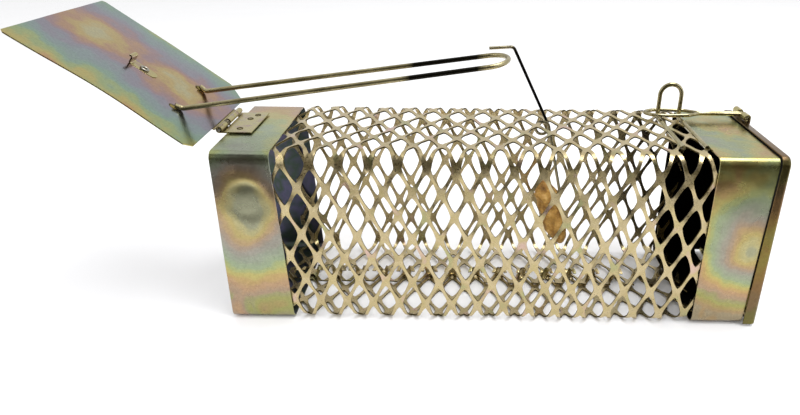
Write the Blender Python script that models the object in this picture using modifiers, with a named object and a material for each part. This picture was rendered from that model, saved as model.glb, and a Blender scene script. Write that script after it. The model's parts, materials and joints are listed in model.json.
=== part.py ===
"""Live catch trap: an expanded-metal cage between two sheet-steel collars.

The door at the front is shown set: raised, with its lever caught under the trigger hook. Pulling
the bait swings the trigger's top hook off the lever, and the door drops over the entrance. The rear
door is latched by a wire hasp over a staple.

Frame: X runs from the entrance to the rear, Y across, Z up. The origin is the centre of the front
collar's underside. Metres.
"""

from math import atan2, cos, hypot, pi, radians, sin, sqrt

import bmesh
import bpy
from mathutils import Matrix, Vector

MM = 0.001

# Gap kept between pieces that touch.
GAP = 0.3 * MM

# Cage body.
BODY_LENGTH = 250.0 * MM
BODY_WIDTH = 78.0 * MM
BODY_HEIGHT = 85.0 * MM
SHEET = 0.6 * MM
CORNER_RADIUS = 4.0 * MM
FRONT_COLLAR_LENGTH = 26.0 * MM
REAR_COLLAR_LENGTH = 26.5 * MM

# Expanded metal.
MESH_THICKNESS = 1.0 * MM
STRAND_WIDTH = 2.0 * MM
DIAMOND_PITCH_ALONG = 12.9 * MM
DIAMOND_PITCH_ROUND = 22.8 * MM
MESH_TUCK = 8.0 * MM
FLOOR_LAP = 8.0 * MM

# Hinges, front and rear.
HINGE_PIN_DIAMETER = 1.4 * MM
KNUCKLE_CLEARANCE = 0.25 * MM
LEAF_LENGTH = 12.0 * MM
CURL_ANGLE = radians(285)
FRONT_HINGE_WIDTH = 33.0 * MM
FRONT_HINGE_OFFSET = 3.5 * MM
FRONT_HINGE_OVERHANG = 3.0 * MM
NEAR_KNUCKLE_WIDTH = 9.0 * MM
FAR_KNUCKLE_WIDTH = 6.5 * MM
REAR_HINGE_WIDTH = 74.0 * MM
REAR_END_KNUCKLE_WIDTH = 14.0 * MM

# Front door, set.
DOOR_WIDTH = 87.0 * MM
DOOR_BOTTOM_CLEARANCE = 1.0 * MM
DOOR_SET_ANGLE = radians(35.5)
NEAR_CHAMFER = 3.5 * MM
FAR_CHAMFER = 10.5 * MM
CHAMFER_ACROSS = 4.0 * MM

# Door spring.
SPRING_WIRE = 0.6 * MM
SPRING_TURNS = 3
SPRING_LEG = 9.0 * MM

# Lever, welded on the door by its two feet.
LEVER_WIRE = 2.3 * MM
LEVER_LENGTH = 152.5 * MM
LEVER_ANGLE = radians(43.6)
LEVER_OFFSET = -1.8 * MM
LEVER_FOOT_SPREAD = 31.0 * MM
LEVER_END_SPREAD = 25.0 * MM
LEVER_FOOT_PLACE = 17.5 * MM
LEVER_FOOT_LENGTH = 3.2 * MM
LEVER_FOOT_SPLAY = 1.5 * MM
LEVER_BEND_RADIUS = 3.0 * MM
LEVER_END_DEPTH = 0.75

# Finger lug riveted on the door.
LUG_PLACE = 45.0 * MM
LUG_OFFSET = -3.0 * MM
LUG_LENGTH = 12.5 * MM
LUG_WIDTH = 6.0 * MM
LUG_SHEET = 0.8 * MM
LUG_HEIGHT = 3.6 * MM
RIVET_DIAMETER = 2.0 * MM
RIVET_HEAD_DIAMETER = 4.2 * MM
RIVET_HEAD_HEIGHT = 1.1 * MM

# Trigger and bait.
TRIGGER_WIRE = 1.5 * MM
TRIGGER_PLACE = 137.6 * MM
TRIGGER_OFFSET = 10.0 * MM
TRIGGER_LOOP_RADIUS = 3.3 * MM
TRIGGER_LOOP_PITCH = 1.9 * MM
TRIGGER_HOOK_LENGTH = 12.0 * MM
TRIGGER_HOOK_LEAD = 2.0 * MM
TRIGGER_HOOK_RISE = 0.8 * MM
TRIGGER_BEND_RADIUS = 2.5 * MM
TRIGGER_LEG_LEAN = 0.2
BAIT_LENGTH = 40.0 * MM
BAIT_DIAMETER = 11.0 * MM
BAIT_TILT = radians(20)
BAIT_CLEARANCE = 14.5 * MM

# Shares: of the hook's drop down to the bait, and of the bait's length up from its middle to the hook.
HOOK_ENTRY = 0.93
BAIT_ENTRY = 0.24

# Rear door, hasp and staple.
REAR_DOOR_LIP = 1.0 * MM
HASP_WIRE = 1.8 * MM
HASP_OFFSET = 22.0 * MM
HASP_EYE_LENGTH = 21.0 * MM
HASP_EYE_WIDTH = 11.0 * MM
HASP_AXLE_WIDTH = 15.0 * MM
HASP_CLIP_WIDTH = 11.0 * MM
HASP_CLIP_LENGTH = 14.0 * MM
STAPLE_WIRE = 2.2 * MM
STAPLE_SPREAD = 10.8 * MM
STAPLE_HEIGHT = 17.0 * MM
STAPLE_LEG = 48.0 * MM
STAPLE_CLEARANCE = 1.2 * MM

# Finishes: sRGB colour, metallic, roughness.
FINISHES = {
    "zinc_sheet": ((0.66, 0.62, 0.42), 1.0, 0.30),
    "zinc_mesh": ((0.60, 0.57, 0.38), 1.0, 0.38),
    "zinc_wire": ((0.58, 0.55, 0.40), 1.0, 0.28),
    "bright_pin": ((0.72, 0.70, 0.64), 1.0, 0.25),
    "dark_wire": ((0.12, 0.12, 0.11), 1.0, 0.40),
    "bread": ((0.45, 0.28, 0.12), 0.0, 0.90),
}

# Places that follow from the sizes above.
FRONT_X = -FRONT_COLLAR_LENGTH / 2
REAR_X = FRONT_X + BODY_LENGTH
KNUCKLE_RADIUS = HINGE_PIN_DIAMETER / 2 + KNUCKLE_CLEARANCE + SHEET / 2
KNUCKLE_OUTER = KNUCKLE_RADIUS + SHEET / 2
CORNER_REACH = (CORNER_RADIUS - SHEET - GAP) / sqrt(2)
MESH_INSET = CORNER_RADIUS - CORNER_REACH
MESH_TOP = BODY_HEIGHT - MESH_INSET
MESH_START = FRONT_X + FRONT_COLLAR_LENGTH - MESH_TUCK
MESH_LENGTH = BODY_LENGTH - FRONT_COLLAR_LENGTH - REAR_COLLAR_LENGTH + 2 * MESH_TUCK
FRONT_AXIS = Vector((FRONT_X - FRONT_HINGE_OVERHANG, 0,
                     BODY_HEIGHT + GAP + SHEET / 2 + KNUCKLE_RADIUS))
DOOR_LENGTH = FRONT_AXIS.z - DOOR_BOTTOM_CLEARANCE
DOOR_FACE = -KNUCKLE_RADIUS + SHEET / 2 + GAP + SHEET
REAR_AXIS = Vector((REAR_X + GAP + KNUCKLE_OUTER, 0, SHEET + GAP + SHEET / 2 + KNUCKLE_RADIUS))
REAR_PLATE = REAR_AXIS.x + KNUCKLE_OUTER + GAP

parts = None
cutters = None


def clear_scene():
    """Remove what is in the file and make the two collections."""
    global parts, cutters
    for item in list(bpy.data.objects):
        bpy.data.objects.remove(item, do_unlink=True)
    parts = bpy.data.collections.new("live_catch_trap")
    cutters = bpy.data.collections.new("cutters")
    bpy.context.scene.collection.children.link(parts)
    bpy.context.scene.collection.children.link(cutters)


def to_linear(value):
    """One sRGB channel as linear light."""
    return value / 12.92 if value <= 0.04045 else ((value + 0.055) / 1.055) ** 2.4


def finish(node, kind):
    """A material of the node's own, in the given finish."""
    colour, metallic, roughness = FINISHES[kind]
    material = bpy.data.materials.new(f"{node}_{kind}")
    material.use_nodes = True
    shader = material.node_tree.nodes["Principled BSDF"]
    shader.inputs["Base Color"].default_value = (*[to_linear(channel) for channel in colour], 1)
    shader.inputs["Metallic"].default_value = metallic
    shader.inputs["Roughness"].default_value = roughness
    return material


def add(name, data, kind, parent=None, location=(0, 0, 0), rotation=(0, 0, 0)):
    """Put a piece in the model; its place is in its parent's frame."""
    item = bpy.data.objects.new(name, data)
    data.name = name
    item.location = location
    item.rotation_euler = rotation
    item.parent = parent
    data.materials.append(finish(name, kind))
    parts.objects.link(item)
    return item


def axis_empty(name, location, tilt=0.0, parent=None):
    """An empty on a joint's axis, which runs along Y."""
    empty = bpy.data.objects.new(name, None)
    empty.location = location
    empty.rotation_euler = (0, tilt, 0)
    empty.parent = parent
    parts.objects.link(empty)
    return empty


def mesh_from(work, name):
    """Turn a bmesh into a mesh with its faces pointing out."""
    bmesh.ops.recalc_face_normals(work, faces=work.faces)
    mesh = bpy.data.meshes.new(name)
    work.to_mesh(mesh)
    work.free()
    return mesh


def evaluated_mesh(data, name):
    """The closed mesh of a curve, with its loose caps welded."""
    source = bpy.data.objects.new(f"{name}_source", data)
    cutters.objects.link(source)
    graph = bpy.context.evaluated_depsgraph_get()
    work = bmesh.new()
    raw = bpy.data.meshes.new_from_object(source.evaluated_get(graph))
    work.from_mesh(raw)
    bmesh.ops.remove_doubles(work, verts=work.verts, dist=0.00001)
    bpy.data.objects.remove(source)
    bpy.data.curves.remove(data)
    bpy.data.meshes.remove(raw)
    return mesh_from(work, name)


def wire_curve(name, points, diameter, cyclic=False):
    """A round wire through the points."""
    curve = bpy.data.curves.new(name, "CURVE")
    curve.dimensions = "3D"
    curve.bevel_depth = diameter / 2
    curve.bevel_resolution = 2
    curve.use_fill_caps = not cyclic
    spline = curve.splines.new("POLY")
    spline.points.add(len(points) - 1)
    for place, point in zip(spline.points, points):
        place.co = (*point, 1)
    spline.use_cyclic_u = cyclic
    return curve


def outline_curve(name, outline, thickness):
    """A flat outline in XY, as thick as asked and centred on its plane."""
    curve = bpy.data.curves.new(name, "CURVE")
    curve.dimensions = "2D"
    curve.fill_mode = "BOTH"
    curve.extrude = thickness / 2
    spline = curve.splines.new("POLY")
    spline.points.add(len(outline) - 1)
    for place, point in zip(spline.points, outline):
        place.co = (point[0], point[1], 0, 1)
    spline.use_cyclic_u = True
    return curve


def arc(centre, radius, start, end, steps):
    """Points along an arc in a plane, both ends included."""
    turn = (end - start) / steps
    return [(centre[0] + radius * cos(start + turn * i), centre[1] + radius * sin(start + turn * i))
            for i in range(steps + 1)]


def filleted(points, radius, steps=4):
    """The same open path with each inner corner rounded; straight corners are kept."""
    path = [Vector(points[0])]
    for before, corner, after in zip(points, points[1:], points[2:]):
        before, corner, after = Vector(before), Vector(corner), Vector(after)
        back, ahead = (before - corner).normalized(), (after - corner).normalized()
        half = back.angle(ahead) / 2
        reach = min(radius / max(sin(half) / cos(half), 0.05), (before - corner).length / 2,
                    (after - corner).length / 2)
        for i in range(steps + 1):
            share = i / steps
            path.append(corner + back * reach * (1 - share) ** 2 + ahead * reach * share ** 2)
    path.append(Vector(points[-1]))
    return path


def cut(item, mesh, matrix):
    """Take a mesh placed in world space away from the piece."""
    cutter = bpy.data.objects.new(f"{item.name}_cutter", mesh)
    cutter.matrix_world = matrix
    cutter.hide_render = True
    cutter.display_type = "WIRE"
    cutters.objects.link(cutter)
    boolean = item.modifiers.new("cut", "BOOLEAN")
    boolean.operation = "DIFFERENCE"
    boolean.solver = "EXACT"
    boolean.object = cutter


def box_mesh(low, high):
    """A closed box between two corners."""
    work = bmesh.new()
    bmesh.ops.create_cube(work, size=1)
    low, high = Vector(low), Vector(high)
    bmesh.ops.scale(work, vec=high - low, verts=work.verts)
    bmesh.ops.translate(work, vec=(low + high) / 2, verts=work.verts)
    return mesh_from(work, "box")


def cylinder_mesh(radius, length):
    """A round pin along Z, centred."""
    work = bmesh.new()
    bmesh.ops.create_cone(work, cap_ends=True, segments=24, radius1=radius, radius2=radius, depth=length)
    return mesh_from(work, "cylinder")


def sheet_shell(name, low, high, open_sides, parent=None):
    """A box of sheet with some sides open and its corners along X rounded."""
    work = bmesh.new()
    bmesh.ops.create_cube(work, size=1)
    low, high = Vector(low), Vector(high)
    bmesh.ops.scale(work, vec=high - low, verts=work.verts)
    bmesh.ops.translate(work, vec=(low + high) / 2, verts=work.verts)
    gone = [face for face in work.faces if any(face.normal.dot(side) > 0.9 for side in open_sides)]
    bmesh.ops.delete(work, geom=gone, context="FACES")
    folds = [edge for edge in work.edges
             if len(edge.link_faces) == 2 and abs((edge.verts[0].co - edge.verts[1].co).normalized().x) > 0.9]
    bmesh.ops.bevel(work, geom=folds, offset=CORNER_RADIUS, segments=5, profile=0.5, affect="EDGES")
    mesh = bpy.data.meshes.new(name)
    work.to_mesh(mesh)
    work.free()
    item = add(name, mesh, "zinc_sheet", parent)
    solidify = item.modifiers.new("sheet", "SOLIDIFY")
    solidify.thickness = SHEET
    solidify.offset = -1
    solidify.use_even_offset = True
    return item


def pattern(length, width):
    """Half pitches of the diamonds that fit a panel, along it and across it."""
    along = max(4, round(length / (DIAMOND_PITCH_ALONG / 2)))
    across = max(2, round(width / (DIAMOND_PITCH_ROUND / 2)))
    return length / along, width / across, along, across


def diamond_panel(name, length, width, location, turn=0.0):
    """A flat panel of expanded metal: a plate less a staggered field of diamonds.

    It starts at local X 0, is centred on Y and has its outer face at local Z 0. The panel's edges
    run through the middles of the diamonds, so every strand ends free at an edge.
    """
    step_x, step_y, along, across = pattern(length, width)
    slope = hypot(step_x, step_y)
    open_share = 1 - STRAND_WIDTH / (2 * step_x * step_y / slope)
    plate = box_mesh((0, -width / 2, -MESH_THICKNESS), (length, width / 2, 0))
    item = add(name, plate, "zinc_mesh", None, location, (turn, 0, 0))
    field = bmesh.new()
    size = Matrix.Diagonal((step_x * open_share, step_y * open_share, 1, 1))
    for row in range(across + 1):
        for column in range(row % 2, along + 1, 2):
            place = Matrix.Translation((column * step_x, row * step_y - width / 2, -MESH_THICKNESS / 2))
            bmesh.ops.create_cone(field, cap_ends=True, segments=4, radius1=1, radius2=1,
                                  depth=2 * MESH_THICKNESS, matrix=place @ size)
    matrix = Matrix.Translation(location) @ Matrix.Rotation(turn, 4, "X")
    cut(item, mesh_from(field, f"{name}_diamonds"), matrix)
    return item


def rolled_leaf(name, width, centre_y, keep, leaf_side, parent, leaf_turn=0.0,
                length=LEAF_LENGTH, pin=HINGE_PIN_DIAMETER):
    """A hinge leaf with its edge curled round the pin, from sheet.

    The curl is centred on the parent's axis and the leaf leaves it at the bottom towards -X or +X
    (leaf_side), turned by leaf_turn about the axis. Only the stretches of curl in keep stay.
    """
    inner = pin / 2 + KNUCKLE_CLEARANCE
    outer = inner + SHEET
    start, end = 1.5 * pi - CURL_ANGLE, 1.5 * pi
    outline = arc((0, 0), outer, start, end, 18)
    outline += [(length, -outer), (length, -inner)]
    outline += arc((0, 0), inner, end, start, 18)
    outline = [(x * leaf_side, y) for x, y in outline]
    mesh = evaluated_mesh(outline_curve(name, outline, width), name)
    stand = Matrix.Rotation(leaf_turn, 4, "Y") @ Matrix.Rotation(pi / 2, 4, "X")
    mesh.transform(stand)
    item = add(name, mesh, "zinc_sheet", parent, (0, centre_y, 0))
    notch_reach = outer + 0.9 * MM
    edges = [centre_y - width / 2 - MM, *[edge for pair in keep for edge in pair], centre_y + width / 2 + MM]
    for low, high in zip(edges[::2], edges[1::2]):
        if high - low > 1.1 * MM:
            notch = box_mesh((-notch_reach, low, -notch_reach), (notch_reach, high, notch_reach))
            notch.transform(Matrix.Rotation(leaf_turn, 4, "Y"))
            cut(item, notch, parent.matrix_world.copy())
    return item


def spring_stretch():
    """The stretch of the front hinge, along Y, that the spring's coil takes."""
    low = FRONT_HINGE_OFFSET - FRONT_HINGE_WIDTH / 2 + NEAR_KNUCKLE_WIDTH + GAP
    return low, low + (SPRING_TURNS + 1) * (SPRING_WIRE + GAP) + GAP


def build_collars():
    """The two sheet collars that hold the ends of the cage."""
    half = BODY_WIDTH / 2
    ends = ((-1, 0, 0), (1, 0, 0))
    open_ends = [Vector(side) for side in ends]
    front_low, front_high = (FRONT_X, -half, 0), (FRONT_X + FRONT_COLLAR_LENGTH, half, BODY_HEIGHT)
    rear_low, rear_high = (REAR_X - REAR_COLLAR_LENGTH, -half, 0), (REAR_X, half, BODY_HEIGHT)
    sheet_shell("front_collar", front_low, front_high, open_ends)
    sheet_shell("rear_collar", rear_low, rear_high, open_ends)


def cage_floor():
    """Height of the upper of the two floor panels."""
    return MESH_INSET + 2 * MESH_THICKNESS + GAP


def build_cage():
    """The folded expanded-metal tube, as flat panels that meet at its folds."""
    half = BODY_WIDTH / 2 - MESH_INSET
    diamond_panel("mesh_top", MESH_LENGTH, 2 * half, (MESH_START, 0, MESH_TOP))
    floor_top = cage_floor()
    low, high = floor_top + GAP, MESH_TOP - MESH_THICKNESS - GAP
    middle = (low + high) / 2
    diamond_panel("mesh_near_side", MESH_LENGTH, high - low, (MESH_START, -half, middle), pi / 2)
    diamond_panel("mesh_far_side", MESH_LENGTH, high - low, (MESH_START, half, middle), -pi / 2)
    floor_width = half + FLOOR_LAP / 2
    offset = (half - FLOOR_LAP / 2) / 2
    near_floor = MESH_INSET + MESH_THICKNESS
    diamond_panel("mesh_floor_near", MESH_LENGTH, floor_width, (MESH_START, -offset, near_floor))
    diamond_panel("mesh_floor_far", MESH_LENGTH, floor_width, (MESH_START, offset, floor_top))


def build_front_door(axis):
    """The raised door plate with its cut-back hinge corners and the hole for the lug's rivet."""
    near, far = -DOOR_WIDTH / 2, DOOR_WIDTH / 2
    edge = -(KNUCKLE_OUTER + 0.9 * MM)
    outline = [(-DOOR_LENGTH, near), (edge - NEAR_CHAMFER, near), (edge, near + CHAMFER_ACROSS),
               (edge, far - CHAMFER_ACROSS), (edge - FAR_CHAMFER, far), (-DOOR_LENGTH, far)]
    mesh = evaluated_mesh(outline_curve("front_door", outline, SHEET), "front_door")
    door = add("front_door", mesh, "zinc_sheet", axis, (0, 0, DOOR_FACE - SHEET / 2))
    hole = Matrix.Translation((-LUG_PLACE, LUG_OFFSET, DOOR_FACE))
    cut(door, cylinder_mesh(RIVET_DIAMETER / 2 + GAP, 8 * SHEET), axis.matrix_world @ hole)


def build_front_hinge(axis, door_axis):
    """The butt hinge: a leaf on the collar, a leaf inside the door, the pin and the closing spring."""
    low = FRONT_HINGE_OFFSET - FRONT_HINGE_WIDTH / 2
    high = low + FRONT_HINGE_WIDTH
    spring_low, spring_high = spring_stretch()
    near_knuckle = (low, low + NEAR_KNUCKLE_WIDTH)
    far_knuckle = (high - FAR_KNUCKLE_WIDTH, high)
    door_knuckle = (spring_high + GAP, far_knuckle[0] - GAP)
    reach = FRONT_HINGE_OVERHANG + LEAF_LENGTH
    collar_leaf = rolled_leaf("collar_hinge_leaf", FRONT_HINGE_WIDTH, FRONT_HINGE_OFFSET,
                              (near_knuckle, far_knuckle), 1, axis, 0.0, reach)
    door_leaf = rolled_leaf("door_hinge_leaf", FRONT_HINGE_WIDTH, FRONT_HINGE_OFFSET,
                            (door_knuckle,), -1, door_axis)
    leg_end = SPRING_LEG + 3 * GAP
    slot_low, slot_high = spring_low - GAP / 2, spring_high + GAP / 2
    slot = box_mesh((0.5 * MM, slot_low, -4 * MM), (leg_end, slot_high, -0.1 * MM))
    cut(collar_leaf, slot, axis.matrix_world.copy())
    slot = box_mesh((-leg_end, slot_low, -4 * MM), (-0.5 * MM, slot_high, -0.1 * MM))
    cut(door_leaf, slot, door_axis.matrix_world.copy())
    pin = add("front_hinge_pin", cylinder_mesh(HINGE_PIN_DIAMETER / 2, FRONT_HINGE_WIDTH + 2 * GAP),
              "bright_pin", axis, (0, FRONT_HINGE_OFFSET, 0), (pi / 2, 0, 0))
    pin.data.shade_smooth()
    add("door_spring", wire_curve("door_spring", spring_points(), SPRING_WIRE), "zinc_wire", axis)


def spring_points():
    """The torsion spring's wire: a leg on the door, the coil, and a leg on the collar."""
    radius = KNUCKLE_RADIUS
    spring_low, _ = spring_stretch()
    start_y = spring_low + SPRING_WIRE / 2
    pitch = SPRING_WIRE + GAP
    start = 1.5 * pi - DOOR_SET_ANGLE
    sweep = 2 * pi * SPRING_TURNS + DOOR_SET_ANGLE
    steps = 12 * SPRING_TURNS + 2
    coil = []
    for i in range(steps + 1):
        angle = start + sweep * i / steps
        advance = pitch * sweep * i / steps / (2 * pi)
        coil.append(Vector((radius * cos(angle), start_y + advance, radius * sin(angle))))
    along_door = Vector((-cos(DOOR_SET_ANGLE), 0, sin(DOOR_SET_ANGLE)))
    return [coil[0] + along_door * SPRING_LEG] + coil + [coil[-1] + Vector((SPRING_LEG, 0, 0))]


def lever_points():
    """The lever's path in the door's frame: foot, arm, closed end, arm, foot."""
    seat = DOOR_FACE + GAP + LEVER_WIRE / 2
    direction = Vector((cos(LEVER_ANGLE), 0, sin(LEVER_ANGLE)))
    bend = Vector((-LEVER_FOOT_PLACE, 0, seat))
    end = bend + direction * (LEVER_LENGTH - LEVER_END_SPREAD / 2)
    foot_half, end_half = LEVER_FOOT_SPREAD / 2, LEVER_END_SPREAD / 2
    across = Vector((0, 1, 0))
    side = [Vector((-LEVER_FOOT_PLACE - LEVER_FOOT_LENGTH, -foot_half - LEVER_FOOT_SPLAY, seat)),
            bend - across * foot_half, end - across * end_half]
    depth = end_half * LEVER_END_DEPTH
    tip = [end + direction * depth * cos(angle) + across * end_half * sin(angle)
           for angle in (pi * (i / 10 - 0.5) for i in range(1, 10))]
    path = filleted(side, LEVER_BEND_RADIUS)
    mirrored = [Vector((point.x, -point.y, point.z)) for point in reversed(path)]
    return [point + across * LEVER_OFFSET for point in path + tip + mirrored]


def build_lever(axis):
    """The long wire lever that opens the door when its end is pressed down."""
    add("lever", wire_curve("lever", lever_points(), LEVER_WIRE), "zinc_wire", axis)


def build_lug(axis):
    """The small finger lug on the door and the rivet that holds it."""
    seat = DOOR_FACE + GAP
    half = LUG_LENGTH / 2
    sheet = LUG_SHEET
    profile = [(half, 0), (half, sheet), (-half + sheet, sheet), (-half + sheet, LUG_HEIGHT),
               (-half, LUG_HEIGHT), (-half, 0)]
    mesh = evaluated_mesh(outline_curve("door_lug", profile, LUG_WIDTH), "door_lug")
    mesh.transform(Matrix.Rotation(pi / 2, 4, "X"))
    lug = add("door_lug", mesh, "zinc_sheet", axis, (-LUG_PLACE, LUG_OFFSET, seat))
    centre = axis.matrix_world @ Matrix.Translation((-LUG_PLACE, LUG_OFFSET, seat))
    cut(lug, cylinder_mesh(RIVET_DIAMETER / 2 + GAP, 6 * sheet), centre)
    reach = LUG_WIDTH / 2
    outline = [(half + MM, -LUG_WIDTH), (half + MM, LUG_WIDTH), (0, LUG_WIDTH)]
    outline += arc((half - reach, 0), reach, pi / 2, -pi / 2, 12)
    outline += [(0, -LUG_WIDTH)]
    tip = outline_curve("lug_tip", outline, 6 * sheet)
    cut(lug, evaluated_mesh(tip, "lug_tip"), centre)
    radius, head = RIVET_DIAMETER / 2, RIVET_HEAD_DIAMETER / 2
    top = seat + sheet + GAP
    bottom = DOOR_FACE - SHEET - GAP
    profile = [(0, top + RIVET_HEAD_HEIGHT)]
    profile += [(head * sin(angle), top + RIVET_HEAD_HEIGHT * cos(angle))
                for angle in (pi / 8, pi / 4, 3 * pi / 8)]
    profile += [(head, top), (radius, top), (radius, bottom), (head * 0.8, bottom),
                (head * 0.8, bottom - RIVET_HEAD_HEIGHT / 2), (0, bottom - RIVET_HEAD_HEIGHT / 2)]
    rivet = add("door_lug_rivet", turned_mesh("door_lug_rivet", profile), "bright_pin", axis,
                (-LUG_PLACE, LUG_OFFSET, 0))
    screw = rivet.modifiers.new("turn", "SCREW")
    screw.steps = screw.render_steps = 20
    screw.use_merge_vertices = True
    screw.merge_threshold = 0.00001


def turned_mesh(name, profile):
    """A profile at +X, from top to bottom, for a Screw modifier."""
    work = bmesh.new()
    points = [work.verts.new((x, 0, z)) for x, z in profile]
    for first, second in zip(points, points[1:]):
        work.edges.new((first, second))
    mesh = bpy.data.meshes.new(name)
    work.to_mesh(mesh)
    work.free()
    return mesh


def pivot_strand():
    """The middle of the mesh-top strand nearest to the trigger's place."""
    width = BODY_WIDTH - 2 * MESH_INSET
    step_x, step_y, _, _ = pattern(MESH_LENGTH, width)
    column = round((TRIGGER_PLACE - MESH_START) / step_x - 0.5)
    row = round((TRIGGER_OFFSET + width / 2) / step_y - 0.5)
    return Vector((MESH_START + (column + 0.5) * step_x, (row + 0.5) * step_y - width / 2,
                   MESH_TOP - MESH_THICKNESS / 2))


def lever_end():
    """The middle of the lever's closed end, with the door set."""
    seat = DOOR_FACE + GAP + LEVER_WIRE / 2
    reach = LEVER_LENGTH - LEVER_END_SPREAD / 2 * (1 - LEVER_END_DEPTH)
    local = Vector((-LEVER_FOOT_PLACE + reach * cos(LEVER_ANGLE), 0, seat + reach * sin(LEVER_ANGLE)))
    return FRONT_AXIS + Matrix.Rotation(DOOR_SET_ANGLE, 3, "Y") @ local


def trigger_points(pivot):
    """The trigger's path in its pivot's frame, from the top hook down to the bait hook's point."""
    end = lever_end() - pivot
    over = end.z + (LEVER_WIRE + TRIGGER_WIRE) / 2 + GAP
    bend = Vector((end.x + LEVER_WIRE / 2 + TRIGGER_HOOK_LEAD, 0, over + TRIGGER_HOOK_RISE))
    hook = Vector((bend.x - TRIGGER_HOOK_LENGTH, 0, over))
    hook.x = min(hook.x, end.x - LEVER_WIRE)
    radius, pitch = TRIGGER_LOOP_RADIUS, TRIGGER_LOOP_PITCH
    leave = atan2(bend.z, bend.x) - pi / 2
    for _ in range(4):
        rim = Vector((radius * cos(leave), 0, radius * sin(leave)))
        leave = atan2((bend - rim).z, (bend - rim).x) - pi / 2
    steps = 18
    loop = []
    for i in range(steps + 1):
        angle = (2 * pi + leave) * (1 - i / steps)
        loop.append(Vector((radius * cos(angle), pitch * (0.5 - i / steps), radius * sin(angle))))
    raised = [Vector((point.x, loop[0].y, point.z)) for point in (hook, bend)]
    top = filleted(raised + [loop[0]], TRIGGER_BEND_RADIUS)[:-1]
    tail = filleted([loop[-1]] + bait_hook(pivot, loop[-1].y), LEVER_BEND_RADIUS)[1:]
    return top + loop + tail


def bait_drop(pivot):
    """How far the bait hook hangs below the pivot, so that the bait clears the cage's floor."""
    bait_reach = BAIT_ENTRY * BAIT_LENGTH + BAIT_LENGTH / 2
    room = pivot.z - cage_floor() - BAIT_CLEARANCE - bait_reach * cos(BAIT_TILT)
    return room / HOOK_ENTRY


def bait_hook(pivot, y):
    """The trigger's lower leg and its hook, from just below the loop."""
    drop, radius = bait_drop(pivot), TRIGGER_LOOP_RADIUS
    shape = ((0.3 * MM, 0, 0.28), (MM, 0, 0.85), (-3.5 * MM, 0, 1), (-9 * MM, -2 * MM, 0.84))
    return [Vector((radius + x + TRIGGER_LEG_LEAN * share * drop, y + across, -share * drop))
            for x, across, share in shape]


def bait_mesh():
    """A rough lump of bread, long in Z."""
    work = bmesh.new()
    bmesh.ops.create_uvsphere(work, u_segments=18, v_segments=14, radius=0.5)
    for vert in work.verts:
        x, y, z = vert.co
        swell = 1 + 0.10 * sin(9 * x + 7 * z) * cos(8 * y - 5 * z) + 0.05 * sin(17 * z + 3 * x)
        blunt = 1 + 0.22 * sin(pi * abs(2 * z)) ** 2
        vert.co = (x * BAIT_DIAMETER * swell * blunt, y * BAIT_DIAMETER * swell * blunt, z * BAIT_LENGTH)
    return mesh_from(work, "bait")


def build_trigger(axis, pivot):
    """The trigger wire, looped round a strand of the mesh top, and the bait on its hook."""
    path = trigger_points(pivot)
    add("trigger", wire_curve("trigger", path, TRIGGER_WIRE), "dark_wire", axis)
    low_y = -TRIGGER_LOOP_PITCH / 2
    tilt = Matrix.Rotation(-BAIT_TILT, 4, "Y")
    depth = HOOK_ENTRY * bait_drop(pivot)
    side = TRIGGER_LOOP_RADIUS - 6.5 * MM + TRIGGER_LEG_LEAN * depth
    entry = Vector((side, low_y + 0.5 * MM, -depth))
    centre = entry + tilt @ Vector((0, 0, -BAIT_ENTRY * BAIT_LENGTH))
    mesh = bait_mesh()
    mesh.transform(tilt)
    bait = add("bait", mesh, "bread", axis, centre)
    channel = evaluated_mesh(wire_curve("channel", path[-14:], TRIGGER_WIRE + 2 * GAP), "channel")
    cut(bait, channel, axis.matrix_world.copy())


def build_rear_door(axis):
    """The rear door, a shallow pan over the end of the rear collar, and its hinge."""
    half = BODY_WIDTH / 2 + REAR_DOOR_LIP
    low = (REAR_X + GAP, -half, REAR_AXIS.z + KNUCKLE_OUTER + GAP)
    high = (REAR_PLATE + SHEET, half, BODY_HEIGHT + REAR_DOOR_LIP)
    door = sheet_shell("rear_door", low, high, [Vector((-1, 0, 0)), Vector((0, 0, -1))])
    set_on_axis(door, axis)
    end = REAR_END_KNUCKLE_WIDTH
    edge = REAR_HINGE_WIDTH / 2
    rolled_leaf("rear_hinge_door_leaf", REAR_HINGE_WIDTH, 0, ((-edge, end - edge), (edge - end, edge)),
                1, axis, -pi / 2)
    middle = edge - end - GAP
    still = axis_empty("rear_hinge_line", REAR_AXIS)
    bpy.context.view_layer.update()
    rolled_leaf("rear_hinge_collar_leaf", 2 * middle, 0, ((-middle, middle),), -1, still)
    pin = add("rear_hinge_pin", cylinder_mesh(HINGE_PIN_DIAMETER / 2, REAR_HINGE_WIDTH + 2 * GAP),
              "bright_pin", still, (0, 0, 0), (pi / 2, 0, 0))
    pin.data.shade_smooth()


def set_on_axis(item, axis):
    """Give a piece that was made in world space its origin on its joint's axis."""
    bpy.context.view_layer.update()
    item.data.transform(axis.matrix_world.inverted())
    item.parent = axis


def hasp_place():
    """Where the hasp's axle lies, above the rear door's top edge."""
    outer = HASP_WIRE / 2 + KNUCKLE_CLEARANCE + SHEET
    return Vector((REAR_PLATE + SHEET + GAP + SHEET - outer, HASP_OFFSET,
                   BODY_HEIGHT + REAR_DOOR_LIP + GAP + outer))


def staple_x():
    """The middle of the staple along X: its rear leg stands just clear of the rear collar."""
    return REAR_X - REAR_COLLAR_LENGTH - STAPLE_CLEARANCE - (STAPLE_WIRE + STAPLE_SPREAD) / 2


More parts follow.
